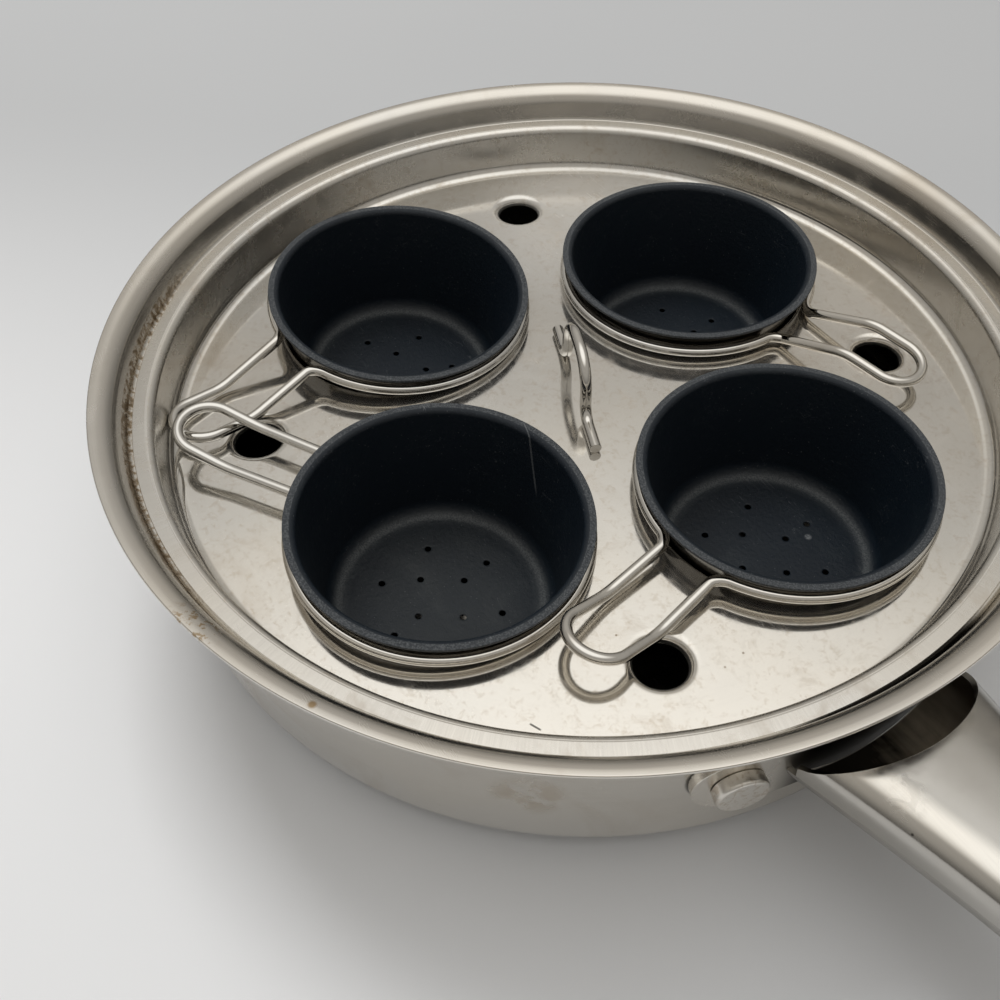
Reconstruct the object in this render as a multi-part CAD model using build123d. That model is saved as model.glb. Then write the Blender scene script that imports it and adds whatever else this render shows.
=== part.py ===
# Egg poacher pan: a lipped saucepan with a hollow handle, a drop-in tray and four poaching cups in wire holders.
# Millimetres. Z is up, the origin is the centre of the underside and the handle runs out along +X.

import os
from math import cos, radians, sin, sqrt

from build123d import *

# Shared sizes
lip_radius = 130.0             # the pan over its lip; pan, tray and cups follow from it
sheet = 1.0                    # wall of the pan
tray_sheet = 0.8               # wall of the tray
joint_gap = 0.05               # all round a rivet shank in its hole
tray_turn = 68.0               # turn of the tray against the handle, degrees
loose_gap = 0.3                # between a cup and the edge of its seat

# Pan body, radii to the outside of the sheet
lip_width = 7.6                # from the foot of the lip out to its edge
ledge_radius = lip_radius - lip_width
ledge_width = 4.0              # from the wall out to the foot of the lip
pan_radius = ledge_radius - ledge_width
pan_corner = 8.0
plate_top = 41.6               # top of the tray's plate above the floor
ledge_above_plate = 13.8       # top of the ledge that carries the tray
ledge_bend = 2.0
lip_foot_bend = 1.7
lip_above_plate = 23.8
lip_shoulder_share = 0.316     # corner of the lip before it is rounded, along its width
lip_shoulder_drop = 1.2
lip_bend_share = 1.026         # rounding of that corner against the lip's width

# Sandwich base
base_inset = 15.4              # from the pan's wall in to the base
base_radius = pan_radius - base_inset
base_height = 4.0
cap_sheet = 0.6
cap_edge = 1.6                 # rounding of the lower rim of the cap

# Tray
flange_gap = 1.05              # between the flange and the foot of the lip
flange_radius = ledge_radius - flange_gap
crest_inset = 2.9              # from the pan's wall in to the crest
tray_wall_head = pan_radius - crest_inset
tray_wall_slant = 1.5          # the recess narrows by this much down to the plate
tray_wall_foot = tray_wall_head - tray_wall_slant
tray_foot_bend = 3.6
tray_crest_bend = 2.0
seat_pitch_share = 0.5614      # of the recess at the plate: tray centre to cup centre
seat_pitch = seat_pitch_share * tray_wall_foot
seat_share = 0.314             # of the recess at the plate: cup hole
seat_radius = seat_share * tray_wall_foot
seat_lip = 2.4                 # edge turned down round a cup hole
seat_edge = 0.5
vent_pitch_share = 0.7947      # of the recess at the plate: tray centre to vent
vent_pitch = vent_pitch_share * tray_wall_foot
vent_radius = 6.6
vent_funnel = 2.4              # depth and spread of the funnel round a vent

# Lift loop on the tray
lift_wire = 3.3
lift_height = 18.4             # top of the wire's centre line above the plate
lift_half_span = 11.6
lift_foot_reach = 25.0
lift_foot_bend = 5.0
lift_crown = 9.4
lift_offset = 1.5              # along the tray's vent line

# Cups
cup_sheet = 0.8
cup_overhang = 3.6             # rim of the cup beyond its seat
cup_rim_radius = seat_radius + cup_overhang
cup_rim_height = 8.8           # top of the rim above the plate
cup_rim_bend = 1.2
cup_depth = 36.5
cup_taper = 4.2                # from the seat in to the foot
cup_foot_radius = seat_radius - cup_taper   # outside, before the corner is rounded
cup_foot_bend = 5.6
lean_raise = 0.22              # a leaning cup stands this much higher for each degree
lean_drift = 0.09              # and this much towards its high side
egg_hole = 1.0                 # radius of a drain hole
inner_holes = 4
inner_hole_share = 0.272        # of the foot's radius
outer_holes = 6
outer_hole_share = 0.547

# Wire holders of the cups
wire = 3.0
ring_outside = 2.4             # middle of the ring beyond the seat
ring_radius = seat_radius + ring_outside
loop_level = 6.2               # height over the plate at which the loops are laid out
leg_gap = 7.7                  # half the gap between the legs at the ring
leg_spread = 8.1               # half the width of the loop
leg_rise = 2.6                 # length of the bend from ring to leg
leg_start = ring_radius + leg_rise
ring_bend_angle = 5.5          # degrees of ring given up to that bend
kink_share = 0.5263            # of the recess at the plate: cup centre to kink
kink_reach = kink_share * tray_wall_foot
kink_bend = 3.0                # length of leg bent on each side of the kink
loop_share = 0.6228            # of the recess at the plate: cup centre to the end of the loop
loop_centre = loop_share * tray_wall_foot

# Strap and rivets
strap_sheet = 2.6
strap_end_radius = 10.2
strap_edge = 0.6
rivet_beside = 11.2            # from the side of the handle to a rivet
rivet_below_plate = 6.0
rivet_head_radius = 6.4
rivet_head_height = 3.4
rivet_head_edge = 0.5
rivet_shank = 3.0
rivet_foot_radius = 5.0
rivet_foot_height = 1.4
rivet_foot_edge = 0.6

# Handle, in a frame that rises along the handle from the pan
handle_root = pan_radius + strap_sheet
handle_root_drop = 5.4         # seam below the plate's top at the root
handle_rise = 7.0              # degrees
handle_length = 190.0
handle_sheet = 1.4
handle_nose = 11.0
handle_buried = 6.0            # extra length trimmed off against the strap
handle_half_width = 24.6       # at the root
handle_crown = 11.7            # above the seam at the root
handle_keel = 8.3              # below the seam at the root
shoulder_share = 0.80          # squareness of the upper shell
keel_share = 0.62              # squareness of the lower shell
scoop_length = 15.2
scoop_side = 0.2               # width of shell left beside the scoop
eye_from_end = 21.0
eye_length = 14.0
eye_width = 7.0
eye_wall_share = 0.75           # of the sheet left above the wall round the eye

# Stations of the handle, as shares of its length and of its half width, crown and keel at the root
station_shares = [
    (0.0, 1.0, 1.0, 1.0),
    (0.0842, 0.870, 0.974, 1.084),
    (0.1789, 0.732, 0.923, 1.133),
    (0.2632, 0.634, 0.863, 1.133),
    (0.4474, 0.512, 0.752, 1.012),
    (0.6579, 0.455, 0.650, 0.867),
    (0.8421, 0.480, 0.581, 0.771),
]
buried_shares = (1.037, 1.009, 0.976)
nose_shares = (0.484, 0.547, 0.723)
nose_angles = [0.0, 30.0, 55.0, 72.0, 84.0]

# Where each cup stands: seat on the tray, height of its ring over the plate, direction of its loop,
# lean and the side it rises to, height of the loop's kink and tip as shares of the cup rim's height,
# and turn of its drain holes.
# Degrees in the tray's frame.
cup_places = {
    "back": dict(
        seat=45.0, ring=2.5, loop=-51.9, lean=0.0, rise_to=0.0, kink_share=0.955, tip_share=0.773, turn=30.0,
    ),
    "left": dict(
        seat=135.0, ring=4.4, loop=-147.1, lean=5.5, rise_to=139.5, kink_share=0.227, tip_share=0.386, turn=2.0,
    ),
    "front": dict(
        seat=225.0, ring=3.2, loop=143.5, lean=3.0, rise_to=148.0, kink_share=0.705, tip_share=0.932, turn=35.0,
    ),
    "right": dict(
        seat=315.0, ring=4.4, loop=-146.0, lean=0.0, rise_to=0.0, kink_share=0.364, tip_share=0.773, turn=27.0,
    ),
}


def polar(radius, angle, height=0.0):
    """A point at a radius and an angle in degrees."""
    return Vector(radius * cos(radians(angle)), radius * sin(radians(angle)), height)


def nearest(shape, point):
    """The corner of a shape that lies nearest a point."""
    return min(shape.vertices(), key=lambda v: (Vector(v) - Vector(*point)).length)


def bent_strip(corners, bends, thickness):
    """Section of bent sheet: corners of the middle of the sheet as (radius, height), bend radii by corner number."""
    line = Wire(Polyline(*corners).edges())
    for number, radius in bends.items():
        line = line.fillet_2d(radius, [nearest(line, corners[number])])
    return trace(line, thickness)


def turned(section):
    """A section drawn as (radius, height) turned once round Z."""
    return revolve(Plane.XZ * section, Axis.Z)


def round_edge(corners, thickness):
    """Half-round edge at the last corner of a strip."""
    return Pos(*corners[-1]) * Circle(thickness / 2)


# Pan

def make_base_cap():
    """Steel cap pressed over the underside core."""
    outer = Cylinder(base_radius, base_height, align=(Align.CENTER, Align.CENTER, Align.MIN))
    outer = fillet(outer.edges().group_by(Axis.Z)[0], cap_edge)
    inner_height = base_height - cap_sheet
    inner = Cylinder(base_radius - cap_sheet, inner_height, align=(Align.CENTER, Align.CENTER, Align.MIN))
    inner = fillet(inner.edges().group_by(Axis.Z)[0], cap_edge - cap_sheet)
    return outer - Pos(0, 0, cap_sheet) * inner


def make_base_core():
    """Aluminium disc sealed between the cap and the pan."""
    height = base_height - cap_sheet
    core = Cylinder(base_radius - cap_sheet, height, align=(Align.CENTER, Align.CENTER, Align.MIN))
    core = fillet(core.edges().group_by(Axis.Z)[0], cap_edge - cap_sheet)
    return Pos(0, 0, cap_sheet) * core


def make_pan_body():
    """Saucepan with an upright wall, a ledge for the tray and a flared lip."""
    half = sheet / 2
    wall = pan_radius - half
    ledge = plate_top + ledge_above_plate - half
    lip = plate_top + lip_above_plate - half
    corners = [
        (0, base_height + half),
        (wall, base_height + half),
        (wall, ledge),
        (ledge_radius, ledge),
        (ledge_radius + lip_shoulder_share * lip_width, lip - lip_shoulder_drop),
        (lip_radius - half, lip),
    ]
    bends = {1: pan_corner - half, 2: ledge_bend, 3: lip_foot_bend, 4: lip_bend_share * lip_width}
    section = bent_strip(corners, bends, sheet) + round_edge(corners, sheet)
    body = turned(section)
    for side in (-1, 1):
        body -= on_rivet(side) * Rot(0, 90, 0) * Cylinder(rivet_shank + joint_gap, 4 * rivet_head_radius)
    return body


# Rivets and strap

def strap_reach():
    """Distance of a rivet from the middle of the handle, measured across it."""
    return handle_half_width + rivet_beside


def on_rivet(side):
    """Frame on a rivet's axis at the outside of the pan wall, X outward."""
    rivet_angle = degrees_of(strap_reach() / (pan_radius + strap_sheet / 2))
    return Rot(0, 0, side * rivet_angle) * Pos(pan_radius, 0, plate_top - rivet_below_plate)


def make_rivet():
    """Headed pin along X: head on the strap, shank through strap and wall, flattened foot inside."""
    head_at = strap_sheet
    wall_inside = pan_radius - sheet
    foot_at = sqrt(wall_inside**2 - rivet_foot_radius**2) - pan_radius
    head = Cylinder(rivet_head_radius, rivet_head_height, align=(Align.CENTER, Align.CENTER, Align.MIN))
    head = chamfer(head.edges().group_by(Axis.Z)[-1], rivet_head_edge)
    foot = Cylinder(rivet_foot_radius, rivet_foot_height, align=(Align.CENTER, Align.CENTER, Align.MAX))
    foot = fillet(foot.edges().group_by(Axis.Z)[0], rivet_foot_edge)
    shank = Cylinder(rivet_shank, head_at - foot_at, align=(Align.CENTER, Align.CENTER, Align.MIN))
    pin = Pos(0, 0, head_at) * head + Pos(0, 0, foot_at) * (shank + foot)
    return Rot(0, 90, 0) * pin


def make_rivets():
    """Both rivets of the handle."""
    return [on_rivet(side) * make_rivet() for side in (-1, 1)]


def make_strap():
    """Curved plate against the pan wall with a rounded end round each rivet."""
    outer_radius = pan_radius + strap_sheet
    height = 2 * strap_end_radius
    middle = plate_top - rivet_below_plate
    ring = Cylinder(outer_radius, height) - Cylinder(pan_radius, height)
    outline = Plane.YZ * SlotCenterToCenter(2 * strap_reach(), height)
    strap = Pos(0, 0, middle) * (ring & extrude(outline, outer_radius))
    outer_edges = strap.edges().filter_by(lambda e: e.center().X > 0 and on_outer_face(e, outer_radius))
    strap = fillet(outer_edges, strap_edge)
    for side in (-1, 1):
        strap -= on_rivet(side) * Rot(0, 90, 0) * Cylinder(rivet_shank + joint_gap, 4 * strap_sheet)
    return strap


def on_outer_face(edge, radius):
    """Whether an edge lies on the outer cylinder of the strap."""
    return all(abs(sqrt(v.X**2 + v.Y**2) - radius) < joint_gap for v in edge.vertices())


# Handle

def handle_frame():
    """Frame of the handle: X along the seam, Z up from it."""
    return Pos(handle_root, 0, plate_top - handle_root_drop) * Rot(0, -handle_rise, 0)


def handle_stations():
    """Stations of the handle: distance from the root, half width, crown above the seam, keel below the seam."""
    rows = [(-handle_buried, buried_shares)]
    rows += [(share * handle_length, shares) for share, *shares in station_shares]
    rows.append((handle_length - handle_nose, nose_shares))
    sizes = (handle_half_width, handle_crown, handle_keel)
    return [(at, *(share * size for share, size in zip(shares, sizes))) for at, shares in rows]


def arch(wide, tall, share):
    """Half of a handle section from one side of the seam over to the other; a negative height hangs below."""
    right = Bezier((wide, 0), (wide, share * tall), (share * wide, tall), (0, tall))
    left = Bezier((0, tall), (-share * wide, tall), (-wide, share * tall), (-wide, 0))
    return [right.edge(), left.edge()]


def section_plane(station):
    """Plane across the handle at a distance from the root."""
    return Plane(origin=(station, 0, 0), x_dir=(0, 1, 0), z_dir=(1, 0, 0))


def shell_section(station, half_width, height, share):
    """Section of bent sheet, open along the seam."""
    inside = half_width - handle_sheet
    depth = abs(height) - handle_sheet
    inner = arch(inside, depth if height > 0 else -depth, share)
    outer = arch(half_width, height, share)
    ends = [Line((x * inside, 0), (x * half_width, 0)).edge() for x in (-1, 1)]
    return section_plane(station) * make_face(outer + inner + ends)


def nose_section(angle, height, share):
    """Solid section of the rounded nose; the angle runs from its start to its tip."""
    start, half_width = handle_stations()[-1][0:2]
    shrink = cos(radians(angle))
    edges = arch(half_width * shrink, height * shrink, share)
    edges.append(Line((-half_width * shrink, 0), (half_width * shrink, 0)).edge())
    return section_plane(start + handle_nose * sin(radians(angle))) * make_face(edges)


def half_shell(side, share):
    """Hollow half of the handle, upper for side 1 and lower for side -1, with the hanging eye walled off."""
    stations = handle_stations()
    heights = [crown if side > 0 else -keel for _, _, crown, keel in stations]
    sections = [shell_section(row[0], row[1], height, share) for row, height in zip(stations, heights)]
    shell = loft(sections) + loft([nose_section(angle, heights[-1], share) for angle in nose_angles])
    eye_at = Pos(handle_length - eye_from_end, 0, 0)
    eye = SlotOverall(eye_length, eye_width)
    wall = SlotOverall(eye_length + 2 * handle_sheet, eye_width + 2 * handle_sheet)
    wall_height = heights[-1] - side * eye_wall_share * handle_sheet
    shell += eye_at * extrude(wall, wall_height)
    shell -= eye_at * extrude(eye, handle_nose, both=True)
    return handle_frame() * shell


def beyond_strap(shell):
    """Trims a handle shell against the face of the strap."""
    tall = 2 * (plate_top + lip_above_plate)
    return shell - Cylinder(pan_radius + strap_sheet, tall)


def make_upper_shell():
    """Crowned half of the handle with the scoop cut out of it at the pan."""
    shell = half_shell(1, shoulder_share)
    tall = 2 * (plate_top + lip_above_plate)
    scoop = extrude(Pos(handle_root, 0) * Ellipse(scoop_length, handle_half_width - scoop_side), tall)
    return largest(beyond_strap(shell) - scoop)


def make_lower_shell():
    """Trough-shaped half of the handle that meets the strap."""
    return largest(beyond_strap(half_shell(-1, keel_share)))


def largest(shape):
    """The biggest solid of a shape."""
    return max(shape.solids(), key=lambda s: s.volume)


# Tray

def in_tray(shape):
    """Turns something drawn in the tray's own frame, plate at zero, to its place in the pan."""
    return Pos(0, 0, plate_top) * Rot(0, 0, tray_turn) * shape


def make_tray():
    """Drop-in tray: plate with cup seats and vents, upright recess wall, crest and flange."""
    half = tray_sheet / 2
    flange = ledge_above_plate + half
    corners = [
        (0, -half),
        (tray_wall_foot + half, -half),
        (tray_wall_head + half, flange),
        (flange_radius - half, flange),
    ]
    section = bent_strip(corners, {1: tray_foot_bend, 2: tray_crest_bend}, tray_sheet) + round_edge(corners, tray_sheet)
    tray = turned(section)
    for place in cup_places.values():
        tray = cut_seat(tray, place["seat"])
    for quarter in range(4):
        tray = cut_vent(tray, 90 * quarter)
    return in_tray(tray)


def cut_seat(tray, angle):
    """Cuts a cup hole and turns its edge down."""
    outer = seat_radius + tray_sheet
    collar = Cylinder(outer, seat_lip, align=(Align.CENTER, Align.CENTER, Align.MAX))
    hole = Cylinder(seat_radius, 4 * seat_lip)
    at = Pos(polar(seat_pitch, angle))
    tray = tray + at * collar - at * hole
    rim = [e for e in tray.edges() if abs(e.center().Z) < joint_gap and is_seat_rim(e, angle)]
    return fillet(rim, seat_edge)


def is_seat_rim(edge, angle):
    """Whether an edge runs round the cup hole at an angle."""
    middle = polar(seat_pitch, angle)
    return all(abs((Vector(v) - middle).length - seat_radius) < joint_gap for v in edge.vertices())


def cut_vent(tray, angle):
    """Draws the plate down into a funnel round a vent hole."""
    at = Pos(polar(vent_pitch, angle))
    wide = vent_radius + vent_funnel
    bend = Pos(wide, -vent_funnel) * (Circle(vent_funnel) - Circle(vent_funnel - tray_sheet))
    quarter = Pos(wide - vent_funnel / 2, -vent_funnel / 2) * Rectangle(vent_funnel, vent_funnel)
    funnel = turned(bend & quarter)
    return tray - at * Cylinder(wide, 4 * tray_sheet) + at * funnel


def make_lift_loop():
    """Arch of wire with two feet lying along the plate."""
    low = lift_wire / 2
    top = lift_height
    span = lift_half_span
    points = [(-lift_foot_reach, low), (-span, low), (-span, top), (span, top), (span, low), (lift_foot_reach, low)]
    line = Wire(Polyline(*points).edges())
    for corner in points[1:5]:
        radius = lift_crown if corner[1] > low else lift_foot_bend
        line = line.fillet_2d(radius, [nearest(line, corner)])
    line = Plane.YZ * line
    section = Plane(origin=line @ 0, z_dir=line % 0) * Circle(lift_wire / 2)
    return in_tray(Pos(0, lift_offset, 0) * sweep(section, path=line))


# Cups

def cup_seat(place):
    """Frame of a cup: on its seat, leaning as it stands, plate at zero."""
    lean, lean_axis = place["lean"], place["rise_to"]
    stand = Pos(polar(seat_pitch, place["seat"])) * Pos(polar(lean_drift * lean, lean_axis, lean_raise * lean))
    return stand * Rot(0, 0, lean_axis) * Rot(0, -lean, 0) * Rot(0, 0, -lean_axis)


def make_cup(place):
    """Tapered poaching cup with a flat rim and drain holes in the bottom."""
    half = cup_sheet / 2
    rim = cup_rim_height - half
    seat_clear = seat_radius - loose_gap
    taper = (seat_clear - cup_foot_radius) / (cup_depth - cup_rim_height)
    mouth = seat_clear + taper * cup_rim_height
    corners = [
        (0, cup_rim_height - cup_depth - half),
        (cup_foot_radius - half, cup_rim_height - cup_depth - half),
        (mouth - half, rim),
        (cup_rim_radius - half, rim),
    ]
    bends = {1: cup_foot_bend, 2: cup_rim_bend}
    cup = turned(bent_strip(corners, bends, cup_sheet) + round_edge(corners, cup_sheet))
    for count, share in ((inner_holes, inner_hole_share), (outer_holes, outer_hole_share)):
        pitch = share * cup_foot_radius
        for number in range(count):
            angle = place["turn"] + 360 * number / count
            cup -= Pos(polar(pitch, angle, cup_rim_height - cup_depth)) * Cylinder(egg_hole, 4 * cup_sheet)
    return in_tray(cup_seat(place) * cup)


def leg_half(place, side):
    """Middle line of one half of a wire holder, from the back of the ring to the tip of the loop."""
    frame = cup_seat(place) * Rot(0, 0, place["loop"])
    ring_height = place["ring"]
    gap_angle = degrees_of(leg_gap / ring_radius) + ring_bend_angle
    ring_end = frame_point(frame, polar(ring_radius, side * gap_angle, ring_height))
    ring_back = frame_point(frame, polar(ring_radius, side * 180, ring_height))
    ring_middle = frame_point(frame, polar(ring_radius, side * (180 + gap_angle) / 2, ring_height))
    inward = frame_point(frame, polar(ring_radius, side * (gap_angle - 90), ring_height))
    along_ring = (inward - frame_point(frame, Vector(0, 0, ring_height))).normalized()
    start = frame_point(frame, Vector(leg_start, side * leg_gap, ring_height))
    tip_height = place["tip_share"] * cup_rim_height
    kink = at_height(frame, kink_reach, side * leg_spread, place["kink_share"] * cup_rim_height)
    end = at_height(frame, loop_centre, side * leg_spread, tip_height)
    other = at_height(frame, loop_centre, 0, tip_height)
    first = (kink - start).normalized()
    second = (end - kink).normalized()
    across = (other - end).normalized()
    tip = other + second * leg_spread
    middle = other + (second - across) * leg_spread * sqrt(1 / 2)
    return [
        ThreePointArc(ring_back, ring_middle, ring_end),
        Spline(ring_end, start, tangents=(along_ring, first)),
        Line(start, kink - first * kink_bend),
        Spline(kink - first * kink_bend, kink + second * kink_bend, tangents=(first, second)),
        Line(kink + second * kink_bend, end),
        ThreePointArc(end, middle, tip),
    ]


def degrees_of(sine):
    """Small angle in degrees from its sine."""
    return Vector(1, 0).get_angle(Vector(sqrt(1 - sine**2), sine))


def frame_point(frame, point):
    """A point carried into a frame."""
    return (frame * Pos(point)).position


def at_height(frame, along, across, height):
    """A point of a holder with its height given above the plate."""
    flat = frame_point(frame, Vector(along, across, loop_level))
    return Vector(flat.X, flat.Y, height)


def make_holder(place):
    """Keyhole-shaped wire: a ring under the cup's rim and a long loop to lift it by."""
    holder = None
    for side in (-1, 1):
        line = Wire([piece.edge() for piece in leg_half(place, side)])
        section = Plane(origin=line @ 0, z_dir=line % 0) * Circle(wire / 2)
        half = sweep(section, path=line)
        holder = half if holder is None else holder + half
    return in_tray(holder)


def save(name, shape):
    """Writes one node, a group of solids where it has more than one."""
    solids = shape if isinstance(shape, list) else shape.solids()
    whole = solids[0] if len(solids) == 1 else Compound(children=list(solids))
    whole.label = name
    export_step(whole, os.path.join("parts", name + ".step"))


os.makedirs("parts", exist_ok=True)
save("base_cap", make_base_cap())
save("base_core", make_base_core())
save("pan_body", make_pan_body())
save("handle_strap", make_strap())
save("handle_rivets", make_rivets())
save("handle_lower_shell", make_lower_shell())
save("handle_upper_shell", make_upper_shell())
save("tray", make_tray())
save("tray_lift_loop", make_lift_loop())
for cup_name, cup_place in cup_places.items():
    save("cup_" + cup_name, make_cup(cup_place))
    save("cup_holder_" + cup_name, make_holder(cup_place))
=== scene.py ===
# %% [markdown]
# # An egg poacher pan, dressed over its CAD model
# A lipped steel pan carries a drop-in tray. Four black cups hang in the tray, each in a keyhole-shaped wire.
# The CAD model fixes every size and every place. Each step below makes one piece of it finer, or gives it a finish.
# All lengths are written in millimetres and turned into Blender's metres with MM.

from math import asin, cos, degrees, pi, radians, sin, sqrt, tan

import bmesh
import bpy
from mathutils import Matrix, Vector


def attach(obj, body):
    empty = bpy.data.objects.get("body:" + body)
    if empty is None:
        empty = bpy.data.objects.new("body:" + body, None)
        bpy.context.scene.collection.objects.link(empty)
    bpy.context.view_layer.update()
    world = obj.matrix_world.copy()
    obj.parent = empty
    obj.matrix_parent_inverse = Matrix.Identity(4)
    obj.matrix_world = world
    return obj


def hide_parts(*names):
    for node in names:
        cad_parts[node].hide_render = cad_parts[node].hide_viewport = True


MM = 0.001
MICRON = 0.000001
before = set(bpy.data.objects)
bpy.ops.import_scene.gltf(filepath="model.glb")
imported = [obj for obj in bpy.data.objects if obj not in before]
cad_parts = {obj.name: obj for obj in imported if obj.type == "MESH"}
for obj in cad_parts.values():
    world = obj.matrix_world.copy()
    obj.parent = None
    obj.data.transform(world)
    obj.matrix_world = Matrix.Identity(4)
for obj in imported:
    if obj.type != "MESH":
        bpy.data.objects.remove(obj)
scene = bpy.context.scene
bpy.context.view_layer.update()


def link(obj):
    """Puts an object in the scene and returns it."""
    scene.collection.objects.link(obj)
    return obj


# %% [markdown]
# ## The camera
# The photograph was taken by hand, a little to the side of the handle and about fifty degrees above the table.
# A camera can be aimed with a Track To constraint, but a hand-held one is also rolled a little.
# So the three axes of the camera are worked out and written into its matrix.

# %% Place the camera
CAMERA_AZIMUTH = radians(59.32)
CAMERA_ELEVATION = radians(49.65)
CAMERA_ROLL = radians(-1.55)
CAMERA_PLACE = Vector((180.8, -134.3, 259.3)) * MM
CAMERA_LENS = 39.16
CAMERA_SHIFT = (0.0018, -0.0001)


def camera_matrix(azimuth, elevation, roll, place):
    """World matrix of a camera that looks down at a point, rolled about its own line of sight."""
    back = Vector((sin(azimuth) * cos(elevation), -cos(azimuth) * cos(elevation), sin(elevation)))
    right = Vector((cos(azimuth), sin(azimuth), 0))
    up = back.cross(right)
    rolled_right = right * cos(roll) + up * sin(roll)
    rolled_up = up * cos(roll) - right * sin(roll)
    turn = Matrix((rolled_right, rolled_up, back)).transposed()
    return Matrix.Translation(place) @ turn.to_4x4()


camera_data = bpy.data.cameras.new("camera")
camera_data.lens = CAMERA_LENS
camera_data.shift_x, camera_data.shift_y = CAMERA_SHIFT
camera_data.clip_start = 10 * MM
camera = link(bpy.data.objects.new("camera", camera_data))
camera.matrix_world = camera_matrix(CAMERA_AZIMUTH, CAMERA_ELEVATION, CAMERA_ROLL, CAMERA_PLACE)
scene.camera = camera
print("camera height over the table:", round(camera.location.z / MM, 1), "mm")

# %% [markdown]
# ## Nodes from arithmetic
# A finish is a small calculation: noise times a mask, plus a little wear.
# Such sums can be wired by hand in the node editor, but they are easier to read as Python.
# The class Value wraps a socket, so that a plus sign adds a Math node. A vector also knows its noise and its cells.
# Recipe keeps the tree, and adds the nodes that belong to the surface.

# %% A socket that can be added and multiplied
class Value:
    """One output socket of a recipe, a number or a vector. Arithmetic on a number adds Math nodes."""

    def __init__(self, recipe, socket):
        self.recipe = recipe
        self.socket = socket

    def math(self, operation, first, second=0.0, clamp=False):
        settings = {"operation": operation, "use_clamp": clamp}
        return self.recipe.add("ShaderNodeMath", settings, {0: first, 1: second})

    def __add__(self, other):
        return self.math("ADD", self, other)

    def __sub__(self, other):
        return self.math("SUBTRACT", self, other)

    def __rsub__(self, other):
        return self.math("SUBTRACT", other, self)

    def __mul__(self, other):
        return self.math("MULTIPLY", self, other)

    def __truediv__(self, other):
        return self.math("DIVIDE", self, other)

    def __pow__(self, other):
        return self.math("POWER", self, other)

    def __abs__(self):
        return self.math("ABSOLUTE", self)

    __radd__ = __add__
    __rmul__ = __mul__

    def clamped(self):
        """The same number kept between 0 and 1."""
        return self.math("ADD", self, 0.0, clamp=True)

    def step(self, low, high):
        """0 below low and 1 above high, with a smooth rise between; low may be the larger one."""
        if low > high:
            return 1 - self.step(high, low)
        return self.recipe.add(
            "ShaderNodeMapRange",
            {"interpolation_type": "SMOOTHSTEP"},
            {"Value": self, "From Min": low, "From Max": high},
        )

    def parts(self):
        """The three numbers of a vector."""
        split = self.recipe.add("ShaderNodeSeparateXYZ", inputs={0: self}).socket.node
        return [Value(self.recipe, socket) for socket in split.outputs]

    def moved(self, centre=(0, 0, 0), turn=0.0, scale=(1, 1, 1)):
        """The place as seen from a point, turned about Z and stretched."""
        shifted = self.recipe.add("ShaderNodeVectorMath", {"operation": "SUBTRACT"}, {0: self, 1: centre})
        inputs = {"Vector": shifted, "Rotation": (0, 0, turn), "Scale": scale}
        return self.recipe.add("ShaderNodeMapping", {"vector_type": "POINT"}, inputs)

    def compare(self, operation, other):
        """One number from this vector and another: their DISTANCE or their DOT_PRODUCT."""
        return self.recipe.add("ShaderNodeVectorMath", {"operation": operation}, {0: self, 1: other}, "Value")

    def noise(self, scale, detail=2.0, roughness=0.5, distortion=0.0):
        """Soft noise between 0 and 1; scale is how many waves go into a metre."""
        inputs = {"Vector": self, "Scale": scale, "Detail": detail, "Roughness": roughness, "Distortion": distortion}
        return self.recipe.add("ShaderNodeTexNoise", inputs=inputs)

    def cells(self, scale, output="Distance"):
        """Distance from the middle of a Voronoi cell, or with Color a colour of each cell's own."""
        return self.recipe.add("ShaderNodeTexVoronoi", inputs={"Vector": self, "Scale": scale}, output=output)


# %% A recipe that holds the nodes of one finish
class Recipe:
    """The node tree of one finish, or of the light of the room."""

    def __init__(self, holder):
        self.holder = holder
        holder.use_nodes = True
        self.tree = holder.node_tree
        self.tree.nodes.clear()

    def add(self, kind, settings=None, inputs=None, output=0):
        """Adds a node, sets it up, wires its inputs and returns one of its outputs."""
        node = self.tree.nodes.new(kind)
        for key, setting in (settings or {}).items():
            setattr(node, key, setting)
        for key, value in (inputs or {}).items():
            if isinstance(value, Value):
                self.tree.links.new(value.socket, node.inputs[key])
            else:
                node.inputs[key].default_value = value
        return Value(self, node.outputs[output]) if node.outputs else None

    def place(self):
        """Position on the piece, in metres."""
        return self.add("ShaderNodeTexCoord", output="Object")

    def vector(self, x, y, z):
        """A vector from three numbers."""
        return self.add("ShaderNodeCombineXYZ", inputs={0: x, 1: y, 2: z})

    def attribute(self, name):
        """A number that the mesh carries at each vertex."""
        return self.add("ShaderNodeAttribute", {"attribute_name": name}, output="Fac")

    def mix(self, share, first, second):
        """A colour between two colours."""
        return self.add("ShaderNodeMix", {"data_type": "RGBA"}, {0: share, 6: first, 7: second}, 2)

    def bump(self, height, depth, under=None):
        """Normal of a surface with a height pattern; depth is the height of 1 in metres."""
        inputs = {"Height": height, "Distance": depth, "Strength": 1.0}
        if under is not None:
            inputs["Normal"] = under
        return self.add("ShaderNodeBump", inputs=inputs)

    def finish(self, **sockets):
        """Wires the surface shader and returns the material."""
        inputs = {key.replace("_", " "): value for key, value in sockets.items()}
        surface = self.add("ShaderNodeBsdfPrincipled", inputs=inputs)
        self.add("ShaderNodeOutputMaterial", inputs={"Surface": surface})
        return self.holder


def new_finish(name):
    """The empty recipe of a new material, and the place on the piece."""
    recipe = Recipe(bpy.data.materials.new(name))
    return recipe, recipe.place()


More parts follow.
